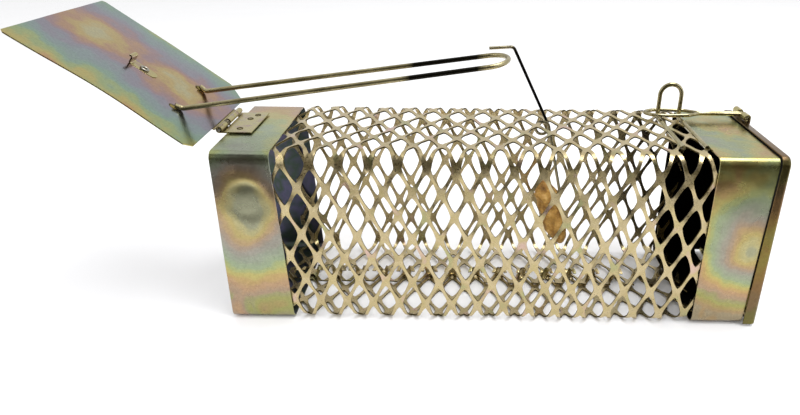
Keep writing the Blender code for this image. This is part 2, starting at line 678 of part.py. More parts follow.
def build_hasp(door_axis):
    """The wire hasp, hinged in a rolled clip on the rear door."""
    place = hasp_place()
    hasp_axis = axis_empty("hasp_axis", place - REAR_AXIS, 0.0, door_axis)
    bpy.context.view_layer.update()
    eye_end = staple_x() + HASP_EYE_LENGTH / 2 - place.x - 1.5 * MM
    eye_half, axle_half = HASP_EYE_WIDTH / 2, HASP_AXLE_WIDTH / 2
    neck = (HASP_WIRE + GAP) / 2
    eye_middle = eye_end - HASP_EYE_LENGTH / 2
    side = [(0, axle_half * 0.2), (0, axle_half), (-3.0 * MM, axle_half), (-8.0 * MM, neck),
            (eye_end + 6 * MM, neck), (eye_end, eye_half * 0.82), (eye_middle, eye_half)]
    side += [(eye_middle + (HASP_EYE_LENGTH / 2) * cos(angle), eye_half * sin(angle))
             for angle in (pi * (0.5 + i / 12) for i in range(1, 6))]
    side = filleted([(x, y, 0) for x, y in side], 2 * MM, 3)
    tip = [Vector((eye_middle - HASP_EYE_LENGTH / 2, 0, 0))]
    path = side + tip + [Vector((point.x, -point.y, point.z)) for point in reversed(side)]
    add("hasp", wire_curve("hasp", path, HASP_WIRE, cyclic=True), "zinc_wire", hasp_axis)
    clip_half = HASP_CLIP_WIDTH / 2
    line = axis_empty("hasp_line", place - REAR_AXIS, 0.0, door_axis)
    bpy.context.view_layer.update()
    rolled_leaf("hasp_clip", HASP_CLIP_WIDTH, 0, ((-clip_half, clip_half),), -1, line, -pi / 2,
                HASP_CLIP_LENGTH, HASP_WIRE)


def build_staple():
    """The staple: two long legs on the mesh top and a raised loop for the hasp's eye."""
    lie = MESH_TOP + GAP + STAPLE_WIRE / 2
    half = STAPLE_SPREAD / 2
    top = lie + STAPLE_HEIGHT - half
    leg = [(-half, HASP_OFFSET - STAPLE_LEG, lie), (-half, HASP_OFFSET, lie), (-half, HASP_OFFSET, top)]
    leg = filleted(leg, 3 * MM)
    bow = [Vector((half * x, HASP_OFFSET, top + half * z))
           for x, z in arc((0, 0), 1, pi, 0, 12)[1:-1]]
    path = leg + bow + [Vector((-point.x, point.y, point.z)) for point in reversed(leg)]
    add("staple", wire_curve("staple", path, STAPLE_WIRE), "zinc_wire", None, (staple_x(), 0, 0))


def main():
    """Build the whole trap."""
    clear_scene()
    build_collars()
    build_cage()
    hinge_line = axis_empty("front_hinge_line", FRONT_AXIS)
    door_axis = axis_empty("front_door_axis", FRONT_AXIS, DOOR_SET_ANGLE)
    bpy.context.view_layer.update()
    build_front_door(door_axis)
    build_front_hinge(hinge_line, door_axis)
    build_lever(door_axis)
    build_lug(door_axis)
    pivot = pivot_strand()
    trigger_axis = axis_empty("trigger_axis", pivot)
    bpy.context.view_layer.update()
    build_trigger(trigger_axis, pivot)
    rear_axis = axis_empty("rear_door_axis", REAR_AXIS)
    bpy.context.view_layer.update()
    build_rear_door(rear_axis)
    build_hasp(rear_axis)
    build_staple()


main()
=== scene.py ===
"""Looks of a live catch trap: an expanded-metal cage between two plated sheet-steel collars.

X runs from the entrance to the rear, Y across with the near side at -Y, and Z up, in metres, as in
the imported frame. Each sub-assembly is a class that builds its pieces and dresses them.
"""

from __future__ import annotations

import json
import logging
from contextlib import contextmanager
from dataclasses import dataclass
from enum import Enum
from math import atan2, cos, floor, pi, radians, sin
from typing import Callable, Iterator, Sequence

import bpy
from mathutils import Matrix, Vector, noise


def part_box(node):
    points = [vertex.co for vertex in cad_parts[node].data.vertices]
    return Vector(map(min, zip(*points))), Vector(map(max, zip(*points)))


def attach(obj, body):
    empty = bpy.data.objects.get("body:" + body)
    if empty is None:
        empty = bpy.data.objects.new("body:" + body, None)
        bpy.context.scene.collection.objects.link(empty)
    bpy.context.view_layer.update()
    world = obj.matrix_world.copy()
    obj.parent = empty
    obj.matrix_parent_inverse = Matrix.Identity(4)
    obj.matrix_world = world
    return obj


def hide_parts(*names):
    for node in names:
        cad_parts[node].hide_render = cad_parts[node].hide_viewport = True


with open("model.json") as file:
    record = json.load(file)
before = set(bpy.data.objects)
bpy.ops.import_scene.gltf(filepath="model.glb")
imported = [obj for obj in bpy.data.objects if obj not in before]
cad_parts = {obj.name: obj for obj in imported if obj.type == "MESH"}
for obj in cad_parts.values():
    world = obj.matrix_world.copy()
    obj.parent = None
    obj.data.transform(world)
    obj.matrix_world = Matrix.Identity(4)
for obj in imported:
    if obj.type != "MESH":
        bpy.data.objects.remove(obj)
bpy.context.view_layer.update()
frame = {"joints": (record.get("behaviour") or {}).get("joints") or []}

MM = 0.001
LOG = logging.getLogger("live_catch_trap")


class Body(Enum):
    """The bodies that pieces ride on."""

    CAGE = "cage"
    FRONT_DOOR = "front_door"
    TRIGGER = "trigger"
    REAR_DOOR = "rear_door"
    HASP = "hasp"


class Slot(Enum):
    """The record's material slots."""

    COLLAR = "collar_zinc"
    DOOR = "door_zinc"
    MESH = "mesh_zinc"
    WIRE = "wire_zinc"
    HINGE = "hinge_zinc"
    PIN = "pin_steel"
    SPRING = "spring_steel"
    TRIGGER = "trigger_wire"
    BREAD = "bread"


class Pick(Enum):
    """What an edit selects: the select mode and the mesh's list of such elements."""

    VERT = "vertices"
    EDGE = "edges"
    FACE = "polygons"


# ---------------------------------------------------------------- bench: modelling with operators


def choose(item: bpy.types.Object) -> None:
    """Make a piece the only one that is selected and active.

    Args:
        item: The piece.
    """
    bpy.ops.object.select_all(action="DESELECT")
    item.select_set(True)
    bpy.context.view_layer.objects.active = item


def adopt(name: str) -> bpy.types.Object:
    """Name what an operator has just added, and keep its place in its mesh.

    Args:
        name: The piece's name.

    Returns:
        The new piece, at the origin.
    """
    item = bpy.context.object
    item.name = name
    item.data.name = name
    bpy.ops.object.transform_apply(location=True, rotation=True, scale=True)
    return item


def block(name: str, low: Vector, high: Vector) -> bpy.types.Object:
    """Add a box between two corners.

    Args:
        name: The piece's name.
        low: Lowest corner.
        high: Highest corner.

    Returns:
        The box, with its place in its mesh.
    """
    bpy.ops.object.select_all(action="DESELECT")
    bpy.ops.mesh.primitive_cube_add(size=1, location=(low + high) / 2, scale=high - low)
    return adopt(name)


def lattice(name: str, across: Sequence[float], along: Sequence[float]) -> bpy.types.Object:
    """Add a flat grid whose lines lie at the given places.

    Args:
        name: The piece's name.
        across: Places of the lines along X, in order.
        along: Places of the lines along Y, in order.

    Returns:
        The grid, in the XY plane.
    """
    bpy.ops.object.select_all(action="DESELECT")
    columns, rows = len(across) - 1, len(along) - 1
    bpy.ops.mesh.primitive_grid_add(x_subdivisions=columns, y_subdivisions=rows, size=2)
    item = adopt(name)
    for vert in item.data.vertices:
        column = round((vert.co.x + 1) / 2 * columns)
        row = round((vert.co.y + 1) / 2 * rows)
        vert.co = (across[column], along[row], 0)
    return item


@contextmanager
def editing(item: bpy.types.Object, pick: Pick, test: Callable[..., bool]) -> Iterator[None]:
    """Open a piece in edit mode with only some of its elements selected.

    Args:
        item: The piece.
        pick: The kind of element.
        test: Says whether an element is selected.

    Yields:
        Nothing; the body of the with statement runs operators.
    """
    choose(item)
    bpy.ops.object.mode_set(mode="EDIT")
    bpy.ops.mesh.select_mode(type=pick.name)
    bpy.ops.mesh.select_all(action="DESELECT")
    bpy.ops.object.mode_set(mode="OBJECT")
    for element in getattr(item.data, pick.value):
        element.select = test(element)
    bpy.ops.object.mode_set(mode="EDIT")
    yield
    bpy.ops.object.mode_set(mode="OBJECT")


def everything(_element: object) -> bool:
    """Select every element."""
    return True


def modify(item: bpy.types.Object, kind: str, **settings: object) -> None:
    """Add a modifier and apply it.

    Args:
        item: The piece.
        kind: The modifier's type.
        **settings: Its properties.
    """
    choose(item)
    modifier = item.modifiers.new(kind.title(), kind)
    for name, value in settings.items():
        setattr(modifier, name, value)
    bpy.ops.object.modifier_apply(modifier=modifier.name)


def weld(item: bpy.types.Object, distance: float = 0.01 * MM) -> None:
    """Merge a piece's doubled points and turn its faces outwards."""
    with editing(item, Pick.VERT, everything):
        bpy.ops.mesh.remove_doubles(threshold=distance)
        bpy.ops.mesh.normals_make_consistent(inside=False)


def shade(item: bpy.types.Object, angle: float = 35.0) -> None:
    """Shade a piece smooth, with edges sharper than the angle (degrees) left crisp."""
    choose(item)
    bpy.ops.object.shade_smooth_by_angle(angle=radians(angle))


def open_slots(item: bpy.types.Object, count: int = 2) -> None:
    """Open a piece's material slots, so that its faces can already be told apart."""
    while len(item.data.materials) < count:
        item.data.materials.append(None)


def thicken(item: bpy.types.Object, gauge: float, offset: float = -1.0, edge: float = 0.12 * MM,
            inner: int = 0) -> None:
    """Give a sheet its gauge and slightly rounded raw edges.

    Args:
        item: The open surface.
        gauge: Sheet thickness.
        offset: -1 grows inwards, 0 both ways, 1 outwards.
        edge: Radius of the raw edges.
        inner: Material slot offset of the inner face.
    """
    open_slots(item)
    modify(item, "SOLIDIFY", thickness=gauge, offset=offset, use_even_offset=True, material_offset=inner)
    modify(item, "BEVEL", width=edge, segments=1, limit_method="ANGLE", angle_limit=radians(50),
           harden_normals=False, use_clamp_overlap=True)
    shade(item)


def rod(name: str, points: Sequence[Vector], diameter: float) -> bpy.types.Object:
    """Draw a round wire along points, with flat cut ends.

    Args:
        name: The piece's name.
        points: The wire's centre line.
        diameter: The wire's diameter.

    Returns:
        The wire as a welded mesh.
    """
    curve = bpy.data.curves.new(name, "CURVE")
    curve.dimensions = "3D"
    curve.bevel_depth = diameter / 2
    curve.bevel_resolution = 5
    curve.use_fill_caps = True
    spline = curve.splines.new("POLY")
    spline.points.add(len(points) - 1)
    for place, point in zip(spline.points, points):
        place.co = (*point, 1)
    item = bpy.data.objects.new(name, curve)
    bpy.context.scene.collection.objects.link(item)
    choose(item)
    bpy.ops.object.convert(target="MESH")
    weld(item)
    shade(item, 50)
    return item


def rounded(corners: Sequence[Vector], radius: float, steps: int = 8) -> list[Vector]:
    """Round the inner corners of an open path.

    Args:
        corners: The path's corners.
        radius: Bend radius, less where a stretch is short.
        steps: Points along each bend.

    Returns:
        The path's points.
    """
    path = [corners[0]]
    for before, corner, after in zip(corners, corners[1:], corners[2:]):
        back, ahead = (before - corner).normalized(), (after - corner).normalized()
        half = max(back.angle(ahead) / 2, 0.05)
        reach = min(radius * cos(half) / sin(half) if half < pi / 2 - 0.01 else 0.0,
                    (before - corner).length / 2, (after - corner).length / 2)
        for step in range(steps + 1):
            share = step / steps
            path.append(corner + back * reach * (1 - share) ** 2 + ahead * reach * share ** 2)
    path.append(corners[-1])
    return [point for index, point in enumerate(path)
            if index == 0 or (point - path[index - 1]).length > 0.02 * MM]


@dataclass
class BentLine:
    """A line in a plane, made of straight and bent stretches.

    Attributes:
        start: Where it begins.
        heading: Its first direction, in radians from the plane's first axis.
        stretches: Length and turn (radians, left is positive) of each stretch.
    """

    start: tuple[float, float]
    heading: float
    stretches: Sequence[tuple[float, float]]

    @property
    def length(self) -> float:
        """The whole line's length."""
        return sum(length for length, _ in self.stretches)

    def marks(self, bend_steps: int, longest: float) -> list[float]:
        """Distances at which to sample the line.

        Args:
            bend_steps: Steps in each bent stretch.
            longest: Longest step in a straight stretch.

        Returns:
            Distances from the start, in order.
        """
        places, run = [0.0], 0.0
        for length, turn in self.stretches:
            steps = bend_steps if turn else max(1, round(length / longest))
            places += [run + length * (step + 1) / steps for step in range(steps)]
            run += length
        return places

    def at(self, distance: float) -> tuple[Vector, Vector]:
        """Find a point of the line.

        Args:
            distance: How far along it, past either end too.

        Returns:
            The point and the right-hand normal there.
        """
        place, heading, left = Vector(self.start), self.heading, distance
        for index, (length, turn) in enumerate(self.stretches):
            last = index == len(self.stretches) - 1
            part = left if last else min(left, length)
            if turn:
                radius = length / turn
                swing = part / radius
                place += radius * Vector((sin(heading + swing) - sin(heading),
                                          cos(heading) - cos(heading + swing)))
                heading += swing
            else:
                place += part * Vector((cos(heading), sin(heading)))
            left -= part
            if left <= 0:
                break
        return place, Vector((sin(heading), -cos(heading)))


def bent_sheet(name: str, line: BentLine, edges: Sequence[float], gauge: float,
               gone: Callable[[float, float], bool] | None = None, longest: float = 4 * MM
               ) -> bpy.types.Object:
    """Fold a strip of sheet along a line in XZ, with its width along Y.

    Args:
        name: The piece's name.
        line: The sheet's middle line in XZ.
        edges: Places across the width where the strip may be cut, in order.
        gauge: Sheet thickness.
        gone: Says whether the sheet is cut away at a distance along it and a place across it.
        longest: Longest step along a straight stretch.

    Returns:
        The folded strip.
    """
    marks = line.marks(14, longest)
    item = lattice(name, marks, edges)
    if gone:
        with editing(item, Pick.FACE, lambda face: gone(face.center.x, face.center.y)):
            bpy.ops.mesh.delete(type="FACE")
    for vert in item.data.vertices:
        place, _ = line.at(vert.co.x)
        vert.co = (place.x, vert.co.y, place.y)
    thicken(item, gauge, offset=0.0, edge=0.1 * MM)
    return item


def dress(item: bpy.types.Object, *materials: bpy.types.Material) -> None:
    """Give a piece its materials, in slot order."""
    open_slots(item, len(materials))
    for index, material in enumerate(materials):
        item.data.materials[index] = material
    while len(item.data.materials) > len(materials):
        item.data.materials.pop()


def settle(item: bpy.types.Object, body: Body, slot: Slot, *nodes: str) -> None:
    """Put a finished piece on its body, in place of CAD nodes.

    Args:
        item: The piece.
        body: The body it moves with.
        slot: The record's slot its finish comes from; not used.
        *nodes: The CAD nodes it stands for.
    """
    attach(item, body.value)
    if nodes:
        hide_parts(*nodes)
    LOG.info("%s: %d faces on %s", item.name, len(item.data.polygons), body.value)


# ---------------------------------------------------------------- finishes


def linear(colour: str) -> tuple[float, float, float, float]:
    """Turn an sRGB hex colour into linear light with full alpha."""
    channels = [int(colour[place:place + 2], 16) / 255 for place in (1, 3, 5)]
    return (*[c / 12.92 if c <= 0.04045 else ((c + 0.055) / 1.055) ** 2.4 for c in channels], 1.0)


def add_node(material: bpy.types.Material, kind: str, sockets: dict | None = None,
             **settings: object) -> bpy.types.Node:
    """Add a node with its settings and links.

    Args:
        material: The material.
        kind: The node's type.
        sockets: Input name or number to a value, or to the output that feeds it.
        **settings: The node's properties.

    Returns:
        The node.
    """
    tree = material.node_tree
    item = tree.nodes.new(kind)
    for name, value in settings.items():
        setattr(item, name, value)
    for name, value in (sockets or {}).items():
        if isinstance(value, bpy.types.NodeSocket):
            tree.links.new(value, item.inputs[name])
        else:
            item.inputs[name].default_value = value
    return item


def fill_ramp(node: bpy.types.Node, stops: Sequence[tuple[float, str]], span: float = 1.0) -> None:
    """Set a colour ramp's stops.

    Args:
        node: The ramp's node.
        stops: Place and colour of each stop, in order.
        span: The length that the places are measured on.
    """
    elements = node.color_ramp.elements
    while len(elements) > 1:
        elements.remove(elements[-1])
    elements[0].position, elements[0].color = stops[0][0] / span, linear(stops[0][1])
    for place, colour in stops[1:]:
        elements.new(place / span).color = linear(colour)


def new_material(name: str, metallic: float, roughness: float) -> tuple[bpy.types.Material, bpy.types.Node]:
    """Start a material.

    Args:
        name: Its name.
        metallic: 1 for metal, 0 for the rest.
        roughness: Its plain roughness.

    Returns:
        The material and its shader node.
    """
    material = bpy.data.materials.new(name)
    material.use_nodes = True
    shader = material.node_tree.nodes["Principled BSDF"]
    shader.inputs["Metallic"].default_value = metallic
    shader.inputs["Roughness"].default_value = roughness
    return material, shader


# Colours that a yellow chromate film shows as it gets thicker, one and a half orders of them.
FILM_SPAN = 1.4
FILM_COLOURS = (
    (0.00, "#AEB9B6"), (0.08, "#CFCDAC"), (0.16, "#D2C08C"), (0.24, "#C6A591"), (0.32, "#B39CAB"),
    (0.40, "#A3A5BF"), (0.50, "#9EB4C2"), (0.60, "#9DBFB8"), (0.67, "#B3C99C"), (0.75, "#D2CA88"),
    (0.83, "#D6B287"), (0.91, "#CFA398"), (1.00, "#BB9CA2"), (1.08, "#A8AC8F"), (1.16, "#AAB377"),
    (1.24, "#B7A678"), (1.32, "#B8998A"), (1.40, "#A99CA0"),
)
FILM_FADE = "#A6A182"


@dataclass(frozen=True)
class Well:
    """A spot from which the film gets thicker outwards.

    Attributes:
        centre: Its place in mm.
        reach: Distance in mm along each axis over which the film grows by a whole order.
        start: Film at the spot itself.
    """

    centre: tuple[float, float, float]
    reach: tuple[float, float, float]
    start: float = 0.0


@dataclass(frozen=True)
class PlatedSheet:
    """Zinc-plated steel sheet under a yellow chromate film, dipped and drained.

    The film dries unevenly and is as thin as a wavelength, so it shows nested bands of interference
    colour. The plating is satin, with a fine rolled grain.

    Attributes:
        name: The material's name.
        wells: Spots where the film is thin.
        film: Least and most film away from the spots.
        patch: Size of the uneven patches in mm.
        tint: Multiplies the film's colour.
        fade: How far the colours fade to the plain khaki of the passivated zinc.
        slant: Film gained per mm along each axis, from the first spot.
        rough: Least and most roughness.
        turn: Turn about Y that lays the sheet flat, in radians.
        origin: Point that the turn is about, in mm.
        bow: Strength of the sheet's slight waves.
    """

    name: str
    wells: tuple[Well, ...] = ()
    film: tuple[float, float] = (0.95, 1.35)
    patch: float = 26.0
    tint: str = "#FFFFFF"
    fade: float = 0.45
    slant: tuple[float, float, float] = (0.0, 0.0, 0.0)
    rough: tuple[float, float] = (0.20, 0.32)
    turn: float = 0.0
    origin: tuple[float, float, float] = (0.0, 0.0, 0.0)
    bow: float = 0.5

    def build(self) -> bpy.types.Material:
        """Make the material.

        Returns:
            The material.
        """
        material, shader = new_material(self.name, 1.0, self.rough[1])
        place = add_node(material, "ShaderNodeTexCoord").outputs["Object"]
        if self.turn:
            away = add_node(material, "ShaderNodeVectorMath",
                            {0: place, 1: tuple(value * MM for value in self.origin)}, operation="SUBTRACT")
            place = add_node(material, "ShaderNodeMapping",
                             {"Vector": away.outputs[0], "Rotation": (0, self.turn, 0)}).outputs[0]
        film = self.film_depth(material, place)
        ramp = add_node(material, "ShaderNodeValToRGB", {0: film})
        ramp.color_ramp.interpolation = "EASE"
        fill_ramp(ramp, FILM_COLOURS, FILM_SPAN)
        grain = add_node(material, "ShaderNodeTexNoise",
                         {"Vector": place, "Scale": 1 / (1.1 * MM), "Detail": 3.0, "Roughness": 0.6})
        worn = add_node(material, "ShaderNodeMapRange",
                        {"Value": grain.outputs[0], "From Min": 0.3, "From Max": 0.7,
                         "To Min": 0.86, "To Max": 1.06})
        faded = add_node(material, "ShaderNodeMix", {0: self.fade, 6: ramp.outputs[0], 7: linear(FILM_FADE)},
                         data_type="RGBA")
        toned = add_node(material, "ShaderNodeVectorMath",
                         {0: faded.outputs[2], 1: linear(self.tint)[:3]}, operation="MULTIPLY")
        colour = add_node(material, "ShaderNodeVectorMath",
                          {0: toned.outputs[0], "Scale": worn.outputs[0]}, operation="SCALE")
        material.node_tree.links.new(colour.outputs[0], shader.inputs["Base Color"])
        haze = add_node(material, "ShaderNodeTexNoise",
                        {"Vector": place, "Scale": 1 / (9 * MM), "Detail": 4.0})
        rough = add_node(material, "ShaderNodeMapRange",
                         {"Value": haze.outputs[0], "From Min": 0.3, "From Max": 0.7,
                          "To Min": self.rough[0], "To Max": self.rough[1]})
        material.node_tree.links.new(rough.outputs[0], shader.inputs["Roughness"])
        wave = add_node(material, "ShaderNodeTexNoise",
                        {"Vector": place, "Scale": 1 / (30 * MM), "Detail": 1.0})
        bowed = add_node(material, "ShaderNodeBump",
                         {"Height": wave.outputs[0], "Distance": 2.0 * MM, "Strength": self.bow})
        bump = add_node(material, "ShaderNodeBump",
                        {"Height": grain.outputs[0], "Distance": 0.02 * MM, "Strength": 0.5,
                         "Normal": bowed.outputs[0]})
        material.node_tree.links.new(bump.outputs[0], shader.inputs["Normal"])
        return material

    def film_depth(self, material: bpy.types.Material, place: bpy.types.NodeSocket) -> bpy.types.NodeSocket:
        """Add the nodes for the film's thickness as a share of its span.

        Args:
            material: The material.
            place: The position's output.

        Returns:
            The output that carries the film.
        """
        patches = add_node(material, "ShaderNodeTexNoise",
                           {"Vector": place, "Scale": 1 / (self.patch * MM),
                            "Detail": 2.0, "Distortion": 0.4})
        depth = add_node(material, "ShaderNodeMapRange",
                         {"Value": patches.outputs[0], "From Min": 0.32, "From Max": 0.68,
                          "To Min": self.film[0], "To Max": self.film[1]}).outputs[0]
        for well in self.wells:
            scale = tuple(1 / (reach * MM) for reach in well.reach)
            shift = tuple(-centre / reach for centre, reach in zip(well.centre, well.reach))
            spot = add_node(material, "ShaderNodeMapping",
                            {"Vector": place, "Location": shift, "Scale": scale})
            far = add_node(material, "ShaderNodeVectorMath", {0: spot.outputs[0]}, operation="LENGTH")
            rise = add_node(material, "ShaderNodeMath", {0: far.outputs["Value"], 1: well.start},
                            operation="ADD")
            depth = add_node(material, "ShaderNodeMath", {0: depth, 1: rise.outputs[0], 2: 0.12},
                             operation="SMOOTH_MIN").outputs[0]
        stir = add_node(material, "ShaderNodeTexNoise",
                        {"Vector": place, "Scale": 1 / (13 * MM), "Detail": 2.5})
        moved = add_node(material, "ShaderNodeMath", {0: stir.outputs[0], 1: 0.36, 2: -0.18},
                         operation="MULTIPLY_ADD")
        total = add_node(material, "ShaderNodeMath", {0: depth, 1: moved.outputs[0]}, operation="ADD")
        if any(self.slant):
            centre = tuple(value * MM for value in self.wells[0].centre)
            away = add_node(material, "ShaderNodeVectorMath", {0: place, 1: centre}, operation="SUBTRACT")
            lean = add_node(material, "ShaderNodeVectorMath",
                            {0: away.outputs[0], 1: tuple(value / MM for value in self.slant)},
                            operation="DOT_PRODUCT")
            total = add_node(material, "ShaderNodeMath", {0: total.outputs[0], 1: lean.outputs["Value"]},
                             operation="ADD")
        return add_node(material, "ShaderNodeMath", {0: total.outputs[0], 1: 1 / FILM_SPAN},
                        operation="MULTIPLY").outputs[0]


@dataclass(frozen=True)
class PlatedMetal:
    """Zinc-plated and yellow-passivated metal whose colour drifts over short distances.

    Attributes:
        name: The material's name.
        shades: Colours that it drifts through.
        patch: Size of the drift in mm.
        rough: Least and most roughness.
        grain: Depth of the fine surface grain in mm.
    """

    name: str
    shades: tuple[str, ...]
    patch: float = 9.0
    rough: tuple[float, float] = (0.20, 0.34)
    grain: float = 0.02

    def build(self) -> bpy.types.Material:
        """Make the material.

        Returns:
            The material.
        """
        material, shader = new_material(self.name, 1.0, self.rough[1])
        place = add_node(material, "ShaderNodeTexCoord").outputs["Object"]
        drift = add_node(material, "ShaderNodeTexNoise",
                         {"Vector": place, "Scale": 1 / (self.patch * MM), "Detail": 3.0, "Distortion": 0.3})
        spread = add_node(material, "ShaderNodeMapRange",
                          {"Value": drift.outputs[0], "From Min": 0.3, "From Max": 0.7})
        ramp = add_node(material, "ShaderNodeValToRGB", {0: spread.outputs[0]})
        last = len(self.shades) - 1
        fill_ramp(ramp, [(index / last, shade_) for index, shade_ in enumerate(self.shades)])
        material.node_tree.links.new(ramp.outputs[0], shader.inputs["Base Color"])
        grit = add_node(material, "ShaderNodeTexNoise",
                        {"Vector": place, "Scale": 1 / (0.9 * MM), "Detail": 2.0})
        rough = add_node(material, "ShaderNodeMapRange",
                         {"Value": grit.outputs[0], "From Min": 0.3, "From Max": 0.7,
                          "To Min": self.rough[0], "To Max": self.rough[1]})
        material.node_tree.links.new(rough.outputs[0], shader.inputs["Roughness"])
        bump = add_node(material, "ShaderNodeBump",
                        {"Height": grit.outputs[0], "Distance": self.grain * MM, "Strength": 0.6})
        material.node_tree.links.new(bump.outputs[0], shader.inputs["Normal"])
        return material


@dataclass(frozen=True)
class DarkStretchWire:
    """Plated wire with one stretch coloured dark, between two places along X and above a height; on the lever
    it is a painted reflection of dark surroundings.

    Attributes:
        name: The material's name.
        black: Colour of the dark stretch.
        plated: Colours of the plated stretches.
        span: Where the black begins and ends along X, in metres.
        low: Height where it begins, in metres.
    """

    name: str
    black: str
    plated: tuple[str, str]
    span: tuple[float, float]
    low: float = 0.0

    def build(self) -> bpy.types.Material:
        """Make the material.

        Returns:
            The material.
        """
        material, shader = new_material(self.name, 1.0, 0.3)
        place = add_node(material, "ShaderNodeTexCoord").outputs["Object"]
        axes = add_node(material, "ShaderNodeSeparateXYZ", {0: place})
        share = None
        begin, end = self.span
        for axis, edge, width in ((2, self.low, 1.5 * MM), (0, begin, 2 * MM), (0, end, -2 * MM)):
            step = add_node(material, "ShaderNodeMapRange",
                            {"Value": axes.outputs[axis], "From Min": edge - width, "From Max": edge + width})
            share = step.outputs[0] if share is None else add_node(
                material, "ShaderNodeMath", {0: share, 1: step.outputs[0]}, operation="MULTIPLY").outputs[0]
        drift = add_node(material, "ShaderNodeTexNoise",
                         {"Vector": place, "Scale": 1 / (12 * MM), "Detail": 2.0})
        ramp = add_node(material, "ShaderNodeValToRGB", {0: drift.outputs[0]})
        fill_ramp(ramp, [(0.35, self.plated[0]), (0.65, self.plated[1])])
        mix = add_node(material, "ShaderNodeMix", {0: share, 6: ramp.outputs[0]}, data_type="RGBA")
        mix.inputs[7].default_value = linear(self.black)
        material.node_tree.links.new(mix.outputs[2], shader.inputs["Base Color"])
        grit = add_node(material, "ShaderNodeTexNoise",
                        {"Vector": place, "Scale": 1 / (1.5 * MM), "Detail": 2.0})
        rough = add_node(material, "ShaderNodeMapRange",
                         {"Value": grit.outputs[0], "To Min": 0.2, "To Max": 0.4})
        material.node_tree.links.new(rough.outputs[0], shader.inputs["Roughness"])
        return material


@dataclass(frozen=True)
class Crust:
    """Dry fried bread: brown, pitted and matt, with a faint oily sheen on its high spots."""

    name: str = "fried_bread"
    shades: tuple[str, ...] = ("#6B481A", "#9A7030", "#BC9046", "#D6AE68")

    def build(self) -> bpy.types.Material:
        """Make the material.

        Returns:
            The material.
        """
        material, shader = new_material(self.name, 0.0, 0.7)
        shader.inputs["IOR"].default_value = 1.45
        shader.inputs["Subsurface Weight"].default_value = 0.08
        shader.inputs["Subsurface Radius"].default_value = (1.5 * MM, 0.8 * MM, 0.4 * MM)
        place = add_node(material, "ShaderNodeTexCoord").outputs["Object"]
        browning = add_node(material, "ShaderNodeTexNoise",
                            {"Vector": place, "Scale": 1 / (5 * MM), "Detail": 6.0, "Roughness": 0.65})
        ramp = add_node(material, "ShaderNodeValToRGB", {0: browning.outputs[0]})
        fill_ramp(ramp, [(0.3 + 0.13 * index, tone) for index, tone in enumerate(self.shades)])
        material.node_tree.links.new(ramp.outputs[0], shader.inputs["Base Color"])
        crumbs = add_node(material, "ShaderNodeTexVoronoi", {"Vector": place, "Scale": 1 / (1.4 * MM)})
        sheen = add_node(material, "ShaderNodeMapRange",
                         {"Value": crumbs.outputs[0], "To Min": 0.38, "To Max": 0.85})
        material.node_tree.links.new(sheen.outputs[0], shader.inputs["Roughness"])
        pits = add_node(material, "ShaderNodeBump",
                        {"Height": crumbs.outputs[0], "Distance": 0.35 * MM, "Strength": 0.8})
        bump = add_node(material, "ShaderNodeBump",
                        {"Height": browning.outputs[0], "Distance": 0.6 * MM, "Strength": 0.7,
                         "Normal": pits.outputs[0]})
        material.node_tree.links.new(bump.outputs[0], shader.inputs["Normal"])
        return material


class Finishes:
    """The trap's materials, each made once."""

    def __init__(self) -> None:
        """Make the materials that several pieces share."""
        # Inside faces keep the film's violet and green, darkened as painted shade.
        self.inside = PlatedMetal("passivated_zinc_inside", ("#67617A", "#4C5A4E", "#64627C", "#465C4C"),
                                  16.0, (0.3, 0.45)).build()
        # Near-black painted shade for the inner faces of the rear collar and the rear door.
        self.shadowed = PlatedMetal("passivated_zinc_rear_inside", ("#060504", "#0B0908", "#080706"),
                                    20.0, (0.5, 0.6)).build()
        self.mesh = PlatedMetal("passivated_zinc_mesh",
                                ("#C9AE9E", "#BFAF80", "#C5B58E", "#BAA97E", "#ABA87B"),
                                12.0, (0.24, 0.38)).build()
        # Sheared faces of the strands are rougher and take a darker olive.
        self.sheared = PlatedMetal("passivated_zinc_sheared", ("#4E4426", "#5E5430", "#433A20"),
                                   7.0, (0.38, 0.55)).build()
        self.wire = PlatedMetal("passivated_zinc_wire", ("#8F8768", "#A9A079", "#B8AF8C", "#7E7450"),
                                14.0, (0.16, 0.28), 0.01).build()
        self.hinge = PlatedMetal("passivated_zinc_strip", ("#A38C7C", "#AFA276", "#B4AA72", "#A49684"),
                                 6.0, (0.16, 0.30)).build()
        self.pin = PlatedMetal("drawn_steel_pin", ("#8E8A80", "#A8A498", "#77736A"), 4.0, (0.2, 0.3)).build()
        self.spring = PlatedMetal("drawn_spring_wire", ("#5C5548", "#7C7462", "#494338"),
                                  3.0, (0.22, 0.35)).build()
        self.bread = Crust().build()


# ---------------------------------------------------------------- sub-assemblies


